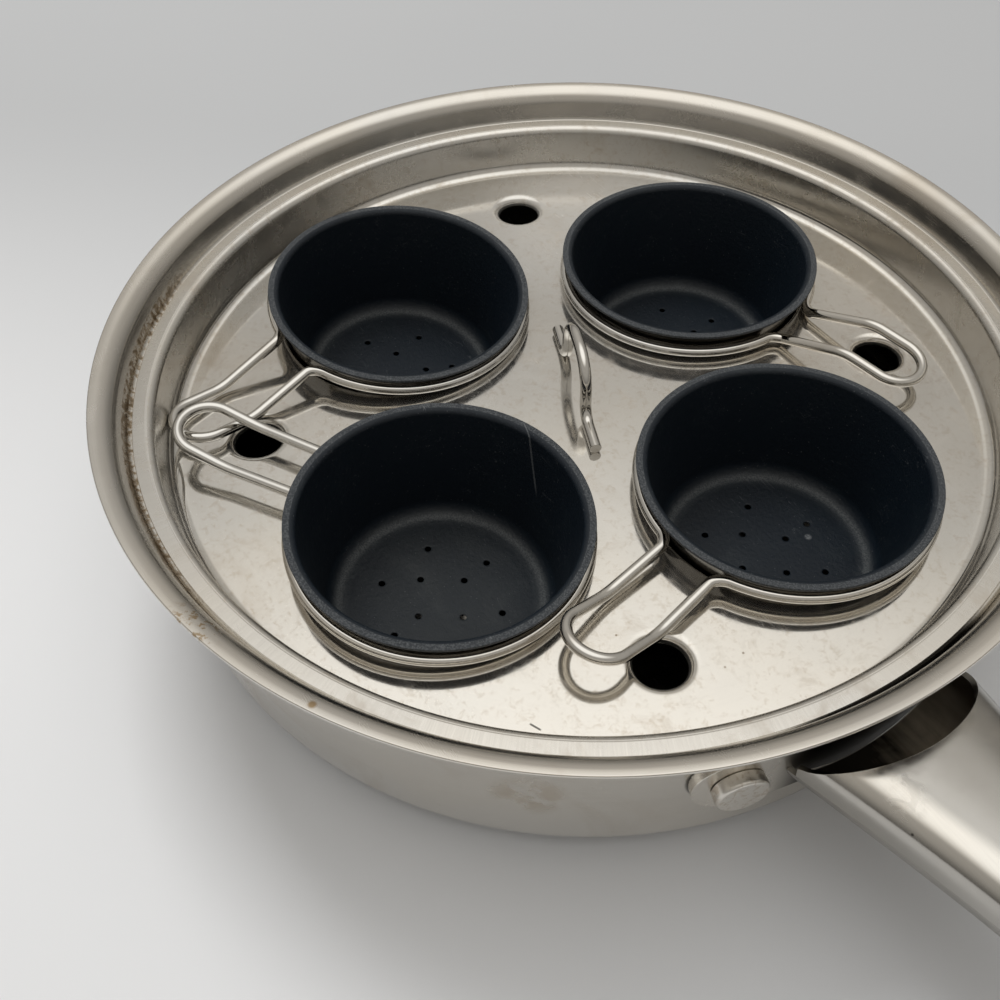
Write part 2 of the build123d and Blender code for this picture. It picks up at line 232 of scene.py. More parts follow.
# %% [markdown]
# ## Polished and brushed steel
# Bare steel has almost no colour of its own, so its finish is all in how it blurs what it reflects.
# A grain is very fine scratches in one direction. On a turned piece they run round it, on the flange they run outward.
# Noise on a direction and a height makes such a grain without a seam, which noise on an angle would have.
# Smudges, dried drops and single scratches then break the reflection up.

# %% Patterns that several finishes share
WARM_STEEL = (0.76, 0.715, 0.640, 1)
COOL_STEEL = (0.70, 0.69, 0.665, 1)
GRAIN_SHADE = (0.50, 0.47, 0.43, 1)
BROWN_STAIN = (0.38, 0.28, 0.17, 1)
# The two darkest colours stand for real tarnish and film, and also for painted shade
TARNISH_AND_SHADE = (0.011, 0.010, 0.008, 1)
FILM_AND_SHADE = (0.36, 0.35, 0.33, 1)


def directions(place):
    """The way outward from the Z axis, as two numbers, the distance from that axis, and the height."""
    x, y, z = place.parts()
    radius = (x * x + y * y) ** 0.5
    return x / radius, y / radius, radius, z


def turned_grain(place, fine=2600.0, along=5.0):
    """Grain that runs round the Z axis."""
    out_x, out_y, radius, z = directions(place)
    across = place.recipe.vector(out_x * along, out_y * along, (radius + z * 1.7) * fine)
    return across.noise(1.0, 3.0, 0.6)


def spoke_grain(place, fine=260.0, along=90.0):
    """Grain that runs outward from the Z axis."""
    out_x, out_y, radius, z = directions(place)
    return place.recipe.vector(out_x * fine, out_y * fine, radius * along).noise(1.0, 4.0, 0.7)


def straight_grain(place, turn=0.0, fine=2400.0, along=30.0):
    """Grain that runs along X after a turn about Z."""
    stretched = place.moved(turn=turn, scale=(along, fine, fine))
    return stretched.noise(1.0, 3.0, 0.6)


def hairlines(place, turn, length=30.0, spread=700.0, width=0.012):
    """Single fine scratches, where a stretched noise crosses its middle value."""
    stretched = place.moved(turn=turn, scale=(length, spread, spread))
    lines = abs(stretched.noise(1.0, 1.0, 0.5) - 0.5).step(width, 0.0)
    patches = place.noise(90.0, 2.0).step(0.52, 0.66)
    return lines * patches


def pits(place, scale, size, share):
    """Sparse round specks; share is how many of the cells stay empty."""
    chosen = place.cells(scale, "Color").parts()[0].step(share, share + 0.01)
    return place.cells(scale).step(size, size * 0.6) * chosen


# %% Single marks at known places
def spot(place, centre, size):
    """A round mark with a soft edge; its centre and its radius are in mm."""
    return place.compare("DISTANCE", Vector(centre) * MM).step(size * MM, size * 0.4 * MM)


def ring(place, centre, size, width):
    """The outline of a dried drop, in mm."""
    return abs(place.compare("DISTANCE", Vector(centre) * MM) - size * MM).step(width * MM, 0.0)


def scratch(place, centre, angle, length, width):
    """One straight scratch, in mm, at an angle in degrees from X."""
    x, y, _ = place.moved(Vector(centre) * MM, radians(-angle)).parts()
    return abs(x).step(length / 2 * MM, length / 3 * MM) * abs(y).step(width * MM, width / 4 * MM)


def band(value, low, high, soft):
    """1 between two values in mm, with soft ends."""
    return value.step((low - soft) * MM, low * MM) * value.step((high + soft) * MM, high * MM)


def facing(place, azimuth, width):
    """1 on the side of the object that lies toward an azimuth, fading out at width, in degrees."""
    out_x, out_y, _, _ = directions(place)
    towards = out_x * cos(radians(azimuth)) + out_y * sin(radians(azimuth))
    return towards.step(cos(radians(width)), cos(radians(width * 0.6)))


# %% The recipe of bare steel
BROAD_DEPTH = 120 * MICRON


def steel(name, grain, depth, roughness, spread, smudge, warm, marks=None):
    """Bare steel. Marks may return a stain, film, tarnish, dull, blur and height of their own; film and tarnish also
    carry painted shade.
    """
    recipe, place = new_finish(name)
    own = marks(place) if marks else {}
    lines = grain(place)
    broad = place.noise(14.0, 2.0, 0.5, 0.6)
    greasy = place.noise(46.0, 5.0, 0.62, 1.1).step(0.46, 0.74)
    fine_scratch = hairlines(place, 0.7) + hairlines(place, 2.1, 26.0, 900.0)
    stain = place.noise(24.0, 6.0, 0.62, 0.8).step(0.54, 0.78) * 0.24
    stain = (stain + own.get("stain", 0.0)).clamped()
    tone = recipe.mix((broad * 1.6 - 0.8 + warm).clamped(), COOL_STEEL, WARM_STEEL)
    tone = recipe.mix(((lines - 0.35) * 0.40).clamped(), tone, GRAIN_SHADE)
    colour = recipe.mix(stain, tone, BROWN_STAIN)
    for layer, layer_colour in (("film", FILM_AND_SHADE), ("tarnish", TARNISH_AND_SHADE)):
        if layer in own:
            colour = recipe.mix(own[layer], colour, layer_colour)
    blur = lines * spread + greasy * smudge + fine_scratch * 0.10 + stain * 0.20 + own.get("blur", 0.0)
    rough = (blur + (roughness - 0.5 * spread)).clamped()
    normal = recipe.bump(lines + fine_scratch * -1.2 + own.get("height", 0.0), depth * MICRON)
    normal = recipe.bump(broad, BROAD_DEPTH, normal)
    metal = 1 - own["dull"] if "dull" in own else 1.0
    return recipe.finish(Base_Color=colour, Metallic=metal, Roughness=rough, Normal=normal)


# %% What wear each steel piece shows
PAN_RADIUS = 118.4
PLATE_TOP = 41.6
FLANGE_CREASE = 117.4
RIVET_ANGLE = radians(17.4)
RIVET_HEIGHT = PLATE_TOP - 6.0
RIVET_PLACES = [
    (PAN_RADIUS * cos(RIVET_ANGLE), side * PAN_RADIUS * sin(RIVET_ANGLE), RIVET_HEIGHT) for side in (-1, 1)
]
STRAP_END = 10.2
HANDLE_ROOT = 121.0
HANDLE_DROP = 5.4
HANDLE_RISE = radians(7.0)
# Places of single marks
BURNT_LIP = (33.6, -124.2, 65.0)
LIP_DROP = (64.8, -110.6, 65.0)
WALL_BLOTCH = (91.0, -75.0, 31.0)
PLATE_SCRATCH = (82.6, -68.0, 41.6)
PLATE_CHALK = (-62.0, 62.0, 41.6)
HANDLE_SMEAR = (140.0, -14.5, 48.5)
HANDLE_SPECK = (139.7, 3.9, 48.0)


def pan_marks(place):
    """Burnt-on residue on the lip and in the tray's gap, a blotch on the wall, and painted shade behind the handle and
    round the strap's ends.
    """
    radius, z = directions(place)[2:]
    crumbs = place.noise(520.0, 4.0, 0.7)
    gap = band(radius, 120.6, 123.6, 0.5) * band(z, 54.0, 58.5, 0.8) * facing(place, 250.0, 34.0)
    lip = spot(place, BURNT_LIP, 9.0) * crumbs.step(0.52, 0.60)
    drop = spot(place, LIP_DROP, 1.3)
    blotch = spot(place, WALL_BLOTCH, 11.0) * place.noise(130.0, 4.0).step(0.42, 0.60)
    # Painted shade: the wall behind the handle is made near black
    shade_behind_handle = facing(place, 0.0, 15.0) * radius.step(118.0 * MM, 118.3 * MM) * band(z, 26.0, 60.0, 2.0)
    floor = radius.step(112.0 * MM, 108.0 * MM) * z.step(14.0 * MM, 8.0 * MM)
    # Painted shade: a dark line on the wall round the strap's rounded ends
    strap_edge_shade = sum(ring(place, rivet, STRAP_END + 0.5, 0.8) for rivet in RIVET_PLACES)
    film = z.step(56.0 * MM, 61.0 * MM)
    return {
        "stain": gap * crumbs.step(0.40, 0.60) * 0.9 + lip * 0.8 + drop * 0.9 + blotch * 0.35 + film * 0.09,
        "tarnish": (shade_behind_handle * 0.96 + gap * crumbs.step(0.50, 0.66) * 0.5 + floor * 0.72 + strap_edge_shade * 0.8).clamped(),
        "blur": blotch * 0.08,
    }


def on_flange(radius):
    """1 on the tray's flange and 0 inside its crease."""
    return radius.step((FLANGE_CREASE - 0.1) * MM, (FLANGE_CREASE + 0.2) * MM)


def tray_grain(place):
    """Strong grain that runs outward on the flange, and a faint turned one inside it."""
    flange = on_flange(directions(place)[2])
    return flange * spoke_grain(place) * 1.8 + (1 - flange) * turned_grain(place) * 0.7


def tray_marks(place):
    """Lime and a fine mottle on the plate, chalk at its far side, the crease of the flange, and one deep scratch."""
    radius = directions(place)[2]
    crease = abs(radius - FLANGE_CREASE * MM).step(0.32 * MM, 0.0)
    flange = on_flange(radius)
    lime = place.noise(75.0, 6.0, 0.66, 0.6).step(0.54, 0.72)
    mottle = place.noise(420.0, 5.0, 0.70, 0.4).step(0.50, 0.68) * (1 - flange)
    speck = pits(place, 150.0, 0.055, 0.86)
    deep = scratch(place, PLATE_SCRATCH, 25.0, 3.4, 0.34)
    wall = radius.step(113.8 * MM, 114.6 * MM) * (1 - flange)
    chalk = spot(place, PLATE_CHALK, 62.0)
    return {
        "stain": lime * 0.20 + mottle * 0.22 + speck * 0.5,
        "tarnish": deep * 0.85 + speck * 0.35,
        "dull": (1 - flange) * (1 - wall) * (lime * 0.10 + chalk * 0.24 + 0.06),
        "blur": crease * 0.12 + flange * 0.15 + lime * 0.06 + wall * 0.14 + chalk * 0.08,
        "height": crease * -26.0 - deep * 20.0,
    }


def handle_marks(place):
    """A dried water smear at the root, specks, painted shade on the sides, and a grey film with painted shade on the
    top that leaves one shoulder bright.
    """
    x, y, z = place.parts()
    above_seam = z - (x - HANDLE_ROOT * MM) * tan(HANDLE_RISE) - (PLATE_TOP - HANDLE_DROP) * MM
    # Painted shade: the sides near the seam are darkened
    side = above_seam.step(9.5 * MM, 5.0 * MM)
    smear = spot(place, HANDLE_SMEAR, 7.0) * place.noise(210.0, 3.0, 0.5, 1.5).step(0.50, 0.60)
    speck = pits(place, 130.0, 0.05, 0.84) + spot(place, HANDLE_SPECK, 0.6)
    root = x.step(150.0 * MM, 128.0 * MM) * place.noise(60.0, 5.0, 0.65).step(0.46, 0.66)
    # A grey film with painted shade over the top past the shoulder, so that the shoulder stays bright
    past_shoulder = y - x * 0.18 + 38.5 * MM
    top_film_and_shade = past_shoulder.step(-1.0 * MM, 2.5 * MM) * place.noise(30.0, 4.0, 0.6, 0.8).step(0.10, 0.60)
    return {
        "stain": root * 0.30,
        "film": (top_film_and_shade * 0.85 + side * 0.55).clamped(),
        "tarnish": (speck * 0.7 + side * 0.12).clamped(),
        "blur": smear * 0.14 + root * 0.10,
    }


def strap_shade(place):
    """Painted shade, near black, where the handle covers the strap."""
    shade_under_handle = facing(place, 0.0, 14.0)
    return {"tarnish": shade_under_handle, "blur": shade_under_handle * 0.20}


def underside_shade(place):
    """Painted shade, brownish and cloudy, on the outside of the handle's lower shell."""
    cloud = place.noise(26.0, 3.0, 0.5)
    return {"film": 0.55 + cloud * 0.5, "stain": cloud * 0.25, "tarnish": cloud.step(0.2, 0.8) * 0.35}


def rivet_marks(place):
    """The hammered, worn face of a rivet."""
    dents = place.noise(620.0, 3.0, 0.6, 0.8)
    return {"stain": dents.step(0.50, 0.62) * 0.35, "blur": dents * 0.16, "height": dents * 9.0}


def cup_marks(place):
    """Darkens the part of a cup's outside that stands over the tray nearly to black, and stains the outside lightly.
    """
    z = place.parts()[2]
    cloud = place.noise(90.0, 4.0, 0.6)
    film = z.step(37.0 * MM, 42.0 * MM) * (cloud * 0.3 + 0.60)
    return {"tarnish": film, "stain": cloud.step(0.45, 0.70) * 0.2}


# %% Mix the steels
# Grain, its depth in microns, roughness, how far the grain spreads it, smudges, warmth and marks
STEELS = {
    "pan_wall_steel": (turned_grain, 2.2, 0.19, 0.08, 0.08, 0.35, pan_marks),
    "base_steel": (turned_grain, 4.0, 0.30, 0.12, 0.12, 0.4),
    "tray_steel": (tray_grain, 1.1, 0.085, 0.04, 0.10, 0.3, tray_marks),
    "wire_steel": (straight_grain, 0.6, 0.045, 0.03, 0.04, 0.2),
    "handle_steel": (straight_grain, 1.2, 0.14, 0.05, 0.10, 0.6, handle_marks),
    "handle_under_steel": (straight_grain, 1.2, 0.16, 0.05, 0.10, 0.6, underside_shade),
    "strap_steel": (straight_grain, 2.0, 0.26, 0.08, 0.10, 0.5, strap_shade),
    "rivet_steel": (straight_grain, 4.0, 0.24, 0.10, 0.10, 0.3, rivet_marks),
    "cup_outside_steel": (turned_grain, 1.6, 0.16, 0.05, 0.08, 0.4, cup_marks),
}
steels = {name: steel(name, *finish) for name, finish in STEELS.items()}
print("steel finishes:", len(steels))

# %% The dark inside of the handle, in painted shade
# The first colour here is painted shade: the near black of the hollow handle's inside
INSIDE_SHADE = (0.035, 0.030, 0.024, 1)
BROWN_METAL = (0.36, 0.31, 0.24, 1)
BURNT_SPECKS = (((126.0, 6.0, 36.0), 1.0), ((126.6, 8.2, 36.0), 1.4))


def tarnished_and_shaded(name):
    """Painted shade over a brown heat tint, brushed along the handle, with painted light on one side and a painted
    highlight on the front edge.
    """
    recipe, place = new_finish(name)
    streaks = straight_grain(place, 0.0, 620.0, 14.0)
    cloud = place.noise(55.0, 4.0, 0.6, 0.5)
    specks = sum(spot(place, centre, size) for centre, size in BURNT_SPECKS)
    # Painted light: the inside turns browner and lighter toward +Y
    lit = place.parts()[1].step(-8.0 * MM, 14.0 * MM)
    # Painted highlight: a thin bright line on the front edge next to the pan
    edge_highlight = directions(place)[2].step(122.3 * MM, 121.7 * MM)
    brown = (cloud * 1.3 + streaks * 0.6 + lit * 0.8 - 1.05).clamped()
    colour = recipe.mix(brown, INSIDE_SHADE, BROWN_METAL)
    colour = recipe.mix(specks.clamped(), colour, TARNISH_AND_SHADE)
    colour = recipe.mix(edge_highlight, colour, WARM_STEEL)
    rough = (0.30 + streaks * 0.20 + cloud * 0.10 + edge_highlight * 0.20).clamped()
    normal = recipe.bump(streaks, 12 * MICRON)
    return recipe.finish(Base_Color=colour, Metallic=1 - edge_highlight * 0.85, Roughness=rough, Normal=normal)


inside_steel = tarnished_and_shaded("handle_inside_steel")

# %% [markdown]
# ## The coating of the cups
# The cups are sprayed inside with a black non-stick coat. It is nearly matt, with a fine orange-peel grain,
# and tiny pale specks sit in it. The specks come from small Voronoi cells of which only a few are kept.
# Where a spoon has scraped, the coat is a little shinier, and a fine pale scratch shows.

# %% Black coat with specks
COAT = (0.0012, 0.0050, 0.0110, 1)
COAT_WORN = (0.0080, 0.0135, 0.0190, 1)
COAT_PALE = (0.0240, 0.0280, 0.0310, 1)
COAT_CORNER_HIGHLIGHT = (0.090, 0.098, 0.102, 1)
COAT_SPECK = (0.16, 0.17, 0.18, 1)
COAT_SCRATCH = (14.0, -25.0, 16.0)
COAT_DROP = (20.0, -20.0, 15.0)
COAT_RESIDUE = (61.2, 39.3, 13.9)
COAT_BOILED = (25.0, -58.9, 14.0)


def coating(name):
    """Black coat with a speckled rim, a painted highlight round the corner of the bottom, one boiled-out bottom and a
    few marks.
    """
    recipe, place = new_finish(name)
    grain = place.noise(2300.0, 4.0, 0.7)
    peel = place.noise(800.0, 2.0, 0.5)
    worn = place.noise(60.0, 5.0, 0.6, 1.0).step(0.45, 0.75)
    rim = recipe.attribute("rim")
    corner = recipe.attribute("corner")
    specks = pits(place, 1500.0, 0.28, 0.90) * place.noise(700.0, 2.0).step(0.40, 0.62)
    scraped = hairlines(place, 1.2, 40.0, 600.0, 0.006) * 0.4
    scraped = scraped + scratch(place, COAT_SCRATCH, -13.0, 12.0, 0.22) * 0.5
    scraped = scraped + ring(place, COAT_DROP, 8.0, 0.25) * facing(place, 290.0, 16.0) * 0.4
    residue = spot(place, COAT_RESIDUE, 1.3) * grain.step(0.35, 0.55)
    boiled = spot(place, COAT_BOILED, 34.0) * (worn * 0.3 + 0.55)
    sprayed = rim * (grain.step(0.42, 0.64) * 0.44 + 0.11)
    colour = recipe.mix(worn * 0.5 + grain * 0.5, COAT, COAT_WORN)
    colour = recipe.mix(boiled, colour, COAT_PALE)
    # Painted highlight: a paler speckled ring on the corner round the bottom
    colour = recipe.mix(corner * (grain.step(0.40, 0.60) * 0.7 + 0.3), colour, COAT_CORNER_HIGHLIGHT)
    colour = recipe.mix((specks * 0.45 + sprayed + scraped + residue * 0.8).clamped(), colour, COAT_SPECK)
    rough = (0.46 - worn * 0.10 + grain * 0.12 - scraped * 0.15).clamped()
    normal = recipe.bump(grain * (1 + rim) + peel * 1.5 + specks * 0.6, 90 * MICRON)
    return recipe.finish(Base_Color=colour, Roughness=rough, Normal=normal, Specular_IOR_Level=0.42)


cup_coat = coating("cup_coat")

# %% [markdown]
# ## The aluminium inside the base
# The disc that spreads the heat is sealed between the pan and the cap, so it only shows if the base is cut open.
# It still gets its own rolled, slightly streaky finish.

# %% Rolled aluminium
ROLLED_DARK = (0.72, 0.72, 0.73, 1)
ROLLED_LIGHT = (0.80, 0.80, 0.81, 1)


def rolled_aluminium(name):
    """Bare aluminium with streaks from the rolling mill."""
    recipe, place = new_finish(name)
    streaks = straight_grain(place, 0.3, 900.0, 20.0)
    colour = recipe.mix(place.noise(30.0, 3.0), ROLLED_DARK, ROLLED_LIGHT)
    normal = recipe.bump(streaks, 4 * MICRON)
    return recipe.finish(Base_Color=colour, Metallic=1.0, Roughness=0.34 + streaks * 0.14, Normal=normal)


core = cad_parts["base_core"]
core.data.materials.clear()
core.data.materials.append(rolled_aluminium("core_aluminium"))

# %% [markdown]
# ## Tools for sheet metal
# Most of this object is thin sheet, spun or pressed. The real maker starts from a flat blank and bends it over a form.
# Here a chain of a few vertices is the section, a vertex bevel rounds its corners like a bend,
# and a spin turns it round. A Solidify modifier gives the sheet its thickness, and a small Bevel dulls the cut edges.

# %% Draw a section and turn it round
MERGE = 0.002 * MM
LEVEL_ERROR = 0.0001 * MM
# A bevel that uses up a whole edge stops just short of its end
ALMOST = 0.999
LATHE_STEPS = 288
LATHE_BEND_STEPS = 7
SHARP_EDGE = radians(50)


def bend_tangent(before, corner, after, radius):
    """Length of straight sheet that a bend of this radius uses up on each side of its corner."""
    first = (Vector(before) - Vector(corner)).normalized()
    second = (Vector(after) - Vector(corner)).normalized()
    return radius / tan(first.angle(second) / 2)


def round_corners(bm, verts, offset, segments, profile=0.5):
    """Rounds corners of a chain or a face with a vertex bevel."""
    bmesh.ops.bevel(
        bm, geom=verts, offset=offset, offset_type="OFFSET", affect="VERTICES",
        segments=segments, profile=profile, material=-1,
    )


def section(bm, corners, bends, steps):
    """Adds a chain of edges with rounded corners, drawn as (radius, height) in mm, and returns its edges."""
    old = set(bm.verts)
    points = [Vector((r * MM, 0, z * MM)) for r, z in corners]
    chain = [bm.verts.new(point) for point in points]
    for pair in zip(chain, chain[1:]):
        bm.edges.new(pair)
    for number, radius in bends.items():
        reach = bend_tangent(points[number - 1], points[number], points[number + 1], radius * MM)
        round_corners(bm, [chain[number]], reach, steps)
    fresh = [v for v in bm.verts if v not in old]
    return list({edge for v in fresh for edge in v.link_edges})


def spin_at(bm, corners, bends, steps, bend_steps, matrix=Matrix()):
    """Adds a section turned once round Z, and moves it to its place."""
    old = set(bm.verts)
    edges = section(bm, corners, bends, bend_steps)
    verts = list({v for edge in edges for v in edge.verts})
    bmesh.ops.spin(
        bm, geom=verts + edges, cent=(0, 0, 0), axis=(0, 0, 1), dvec=(0, 0, 0),
        angle=2 * pi, steps=steps, use_merge=True, use_duplicate=False,
    )
    bmesh.ops.transform(bm, matrix=matrix, verts=[v for v in bm.verts if v not in old])


def lathe(corners, bends):
    """A new bmesh with one turned sheet."""
    bm = bmesh.new()
    spin_at(bm, corners, bends, LATHE_STEPS, LATHE_BEND_STEPS)
    bmesh.ops.remove_doubles(bm, verts=bm.verts, dist=MERGE)
    bmesh.ops.recalc_face_normals(bm, faces=bm.faces)
    return bm


# %% Cut a plate with half-round ends
def round_ended(bm, long, wide, segments, lay):
    """Adds a face from half its length and half its width in mm; lay turns two coordinates into a point."""
    corners = ((-long, -wide), (long, -wide), (long, wide), (-long, wide))
    ends = [bm.verts.new(Vector(lay(*corner)) * MM) for corner in corners]
    bm.faces.new(ends)
    round_corners(bm, ends, wide * MM * ALMOST, segments)


def only(kind, items):
    """The items of one kind among the results of a bmesh operator."""
    return [item for item in items if isinstance(item, kind)]


def raise_faces(bm, way):
    """Extrudes all faces of a flat bmesh along a vector in mm into a closed block."""
    grown = bmesh.ops.extrude_face_region(bm, geom=bm.faces[:])["geom"]
    bmesh.ops.translate(bm, verts=only(bmesh.types.BMVert, grown), vec=Vector(way) * MM)
    bmesh.ops.recalc_face_normals(bm, faces=bm.faces)


# %% Turn a bmesh into a piece that rides on the frame
def add_modifier(obj, kind, **settings):
    """Adds a modifier and sets it up."""
    modifier = obj.modifiers.new(kind.lower(), kind)
    for key, setting in settings.items():
        setattr(modifier, key, setting)


def round_edges(obj, width, segments):
    """Rounds the sharp edges a little, with a width in mm."""
    add_modifier(obj, "BEVEL", width=width * MM, segments=segments, limit_method="ANGLE", angle_limit=SHARP_EDGE)


def dull_edges(obj, width, segments=3):
    """Rounds the sharp edges and keeps the faces beside them evenly shaded."""
    round_edges(obj, width, segments)
    add_modifier(obj, "WEIGHTED_NORMAL", keep_sharp=True)


def thicken(obj, thickness, edge, offset=0.0, **settings):
    """Gives a sheet its thickness and dulls its cut edges, in mm."""
    add_modifier(obj, "SOLIDIFY", thickness=thickness * MM, offset=offset, use_even_offset=True, **settings)
    dull_edges(obj, edge)


def mesh_object(bm, name):
    """An object in the scene with the mesh that a bmesh describes."""
    mesh = bpy.data.meshes.new(name)
    bm.to_mesh(mesh)
    bm.free()
    return link(bpy.data.objects.new(name, mesh))


def made_mesh(obj):
    """The mesh that an object's modifiers, or its curve, make."""
    graph = bpy.context.evaluated_depsgraph_get()
    return bpy.data.meshes.new_from_object(obj.evaluated_get(graph))


def piece(bm, name, body, materials, nodes=(), sharp=40.0):
    """Writes a bmesh to a named piece with its finish, its body and the CAD nodes that it stands for."""
    obj = mesh_object(bm, name)
    for material in materials:
        obj.data.materials.append(material)
    obj.data.shade_smooth()
    obj.data.set_sharp_from_angle(angle=radians(sharp))
    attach(obj, body)
    if nodes:
        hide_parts(*nodes)
    print(name, "faces:", len(obj.data.polygons))
    return obj


# %% [markdown]
# ## The pan
# The pan is one deep-drawn sheet: a floor, an upright wall, a small ledge for the tray, and a lip that flares out.
# It could be boxed and subdivided, but the bends have known radii, so a turned section is closer to the real thing.

# %% Sizes that the whole pan shares
SHEET = 1.0
BASE_HEIGHT = 4.0
LEDGE_TOP = PLATE_TOP + 13.8
LIP_TOP = PLATE_TOP + 23.8

# %% Turn the pan body
LEDGE_RADIUS = 122.4
LIP_RADIUS = 129.9
LIP_SHOULDER = (124.8, LIP_TOP - SHEET / 2 - 0.45)
PAN_BENDS = {1: 7.5, 2: 2.0, 3: 1.7, 4: 5.2}

pan_wall = PAN_RADIUS - SHEET / 2
pan_corners = [
    (0, BASE_HEIGHT + SHEET / 2),
    (pan_wall, BASE_HEIGHT + SHEET / 2),
    (pan_wall, LEDGE_TOP - SHEET / 2),
    (LEDGE_RADIUS, LEDGE_TOP - SHEET / 2),
    LIP_SHOULDER,
    (LIP_RADIUS, LIP_TOP - SHEET / 2),
]
pan_bm = lathe(pan_corners, PAN_BENDS)
pan_body = piece(pan_bm, "pan_shell", "pan", [steels["pan_wall_steel"]], ["pan_body"])
thicken(pan_body, SHEET, edge=0.35)

# %% [markdown]
# ## The base
# A thin steel cap is pressed over the underside. It stands on the hob, so it is flat, with a rounded rim,
# and its turning marks show as fine rings.

# %% Turn the base cap
BASE_RADIUS = 103.0
CAP_SHEET = 0.6
CAP_BEND = 1.3

cap_wall = BASE_RADIUS - CAP_SHEET / 2
cap_bm = lathe([(0, CAP_SHEET / 2), (cap_wall, CAP_SHEET / 2), (cap_wall, BASE_HEIGHT)], {1: CAP_BEND})
base_cap = piece(cap_bm, "base_plate", "pan", [steels["base_steel"]], ["base_cap"])
thicken(base_cap, CAP_SHEET, edge=0.15)

# %% [markdown]
# ## The handle's strap
# A bent steel plate with rounded ends is riveted to the pan and welded to the handle.
# It is drawn flat: a rectangle whose corners are bevelled until the ends are half circles. Cuts across it give it
# enough columns to follow the wall, then it is thickened and wrapped round the pan. A Bevel modifier rounds its edge.

# %% Make the strap flat and wrap it round the wall
STRAP_SHEET = 2.6
STRAP_COLUMNS = 60
STRAP_EDGE = 0.7


def wrap_round(bm, radius, height):
    """Bends a flat shape round Z: X becomes the distance from the wall and Y runs along it."""
    for vert in bm.verts:
        depth, along, up = vert.co
        angle = along / (radius * MM)
        out = radius * MM + depth
        vert.co = (out * cos(angle), out * sin(angle), up + height * MM)


half_long = (PAN_RADIUS + STRAP_SHEET / 2) * RIVET_ANGLE + STRAP_END
strap_bm = bmesh.new()
round_ended(strap_bm, half_long, STRAP_END, segments=16, lay=lambda along, up: (0, along, up))
for column in range(1, STRAP_COLUMNS):
    cut_at = (2 * column / STRAP_COLUMNS - 1) * half_long * MM
    everything = strap_bm.verts[:] + strap_bm.edges[:] + strap_bm.faces[:]
    bmesh.ops.bisect_plane(strap_bm, geom=everything, plane_co=(0, cut_at, 0), plane_no=(0, 1, 0))
raise_faces(strap_bm, (STRAP_SHEET, 0, 0))
wrap_round(strap_bm, PAN_RADIUS, RIVET_HEIGHT)
strap = piece(strap_bm, "handle_strap_plate", "pan", [steels["strap_steel"]], ["handle_strap"])
dull_edges(strap, STRAP_EDGE, segments=4)

# %% [markdown]
# ## The rivets
# Two rivets hold the strap. Each has a flat, scratched head with a dulled edge, a shank, and a foot inside the pan.
# One section with bevelled corners is turned into the whole rivet, then it is laid on its side and set in the wall.

# %% Turn the rivets
RIVET_HEAD = 6.4
RIVET_HEAD_HEIGHT = 3.4
RIVET_SHANK = 3.0
RIVET_FOOT = 5.0
RIVET_FOOT_HEIGHT = 1.4
RIVET_BENDS = {1: 0.6, 5: 0.3, 6: 0.9}
rivet_inside = sqrt((PAN_RADIUS - SHEET) ** 2 - RIVET_FOOT**2) - PAN_RADIUS
rivet_corners = [
    (0, rivet_inside - RIVET_FOOT_HEIGHT),
    (RIVET_FOOT, rivet_inside - RIVET_FOOT_HEIGHT),
    (RIVET_FOOT, rivet_inside),
    (RIVET_SHANK, rivet_inside),
    (RIVET_SHANK, STRAP_SHEET),
    (RIVET_HEAD, STRAP_SHEET),
    (RIVET_HEAD, STRAP_SHEET + RIVET_HEAD_HEIGHT),
    (0, STRAP_SHEET + RIVET_HEAD_HEIGHT),
]
rivet_bm = bmesh.new()
lay_down = Matrix.Translation((PAN_RADIUS * MM, 0, RIVET_HEIGHT * MM)) @ Matrix.Rotation(pi / 2, 4, "Y")
for side in (-1, 1):
    to_wall = Matrix.Rotation(side * RIVET_ANGLE, 4, "Z") @ lay_down
    spin_at(rivet_bm, rivet_corners, RIVET_BENDS, steps=64, bend_steps=5, matrix=to_wall)
bmesh.ops.remove_doubles(rivet_bm, verts=rivet_bm.verts, dist=MERGE)
bmesh.ops.recalc_face_normals(rivet_bm, faces=rivet_bm.faces)
rivets = piece(rivet_bm, "handle_rivet_pair", "pan", [steels["rivet_steel"]], ["handle_rivets"])
add_modifier(rivets, "WEIGHTED_NORMAL", keep_sharp=True)

# %% [markdown]
# ## The handle
# The handle is two pressed half shells welded along a seam, hollow inside. Their width and height change along it.
# Each shell starts as an arch: three sides of a square whose corners are bevelled all the way, a little squarer than
# a circle. The arch is extruded from station to station and scaled at each one, so the sizes come from a short table.
# At the pan the upper shell ends in a scoop, so its first rows are pushed back along an ellipse.

# %% Stations of the handle and the curve through them
HANDLE_LENGTH = 190.0
HANDLE_SHEET = 1.4
HANDLE_NOSE = 11.0
NOSE_START = HANDLE_LENGTH - HANDLE_NOSE
# Distance from the root, half width, crown over the seam, keel under the seam
HANDLE_TABLE = [
    (-6.0, 25.5, 11.8, 8.1),
    (0.0, 24.6, 11.7, 8.3),
    (16.0, 21.4, 11.4, 9.0),
    (34.0, 18.0, 10.8, 9.4),
    (50.0, 15.6, 10.1, 9.4),
    (85.0, 12.6, 8.8, 8.4),
    (125.0, 11.2, 7.6, 7.2),
    (160.0, 11.8, 6.8, 6.4),
    (NOSE_START, 11.9, 6.4, 6.0),
]


def slope(number, column):
    """Slope of a column of the handle table at a station, from its neighbours."""
    low = HANDLE_TABLE[max(number - 1, 0)]
    high = HANDLE_TABLE[min(number + 1, len(HANDLE_TABLE) - 1)]
    return (high[column] - low[column]) / (high[0] - low[0])


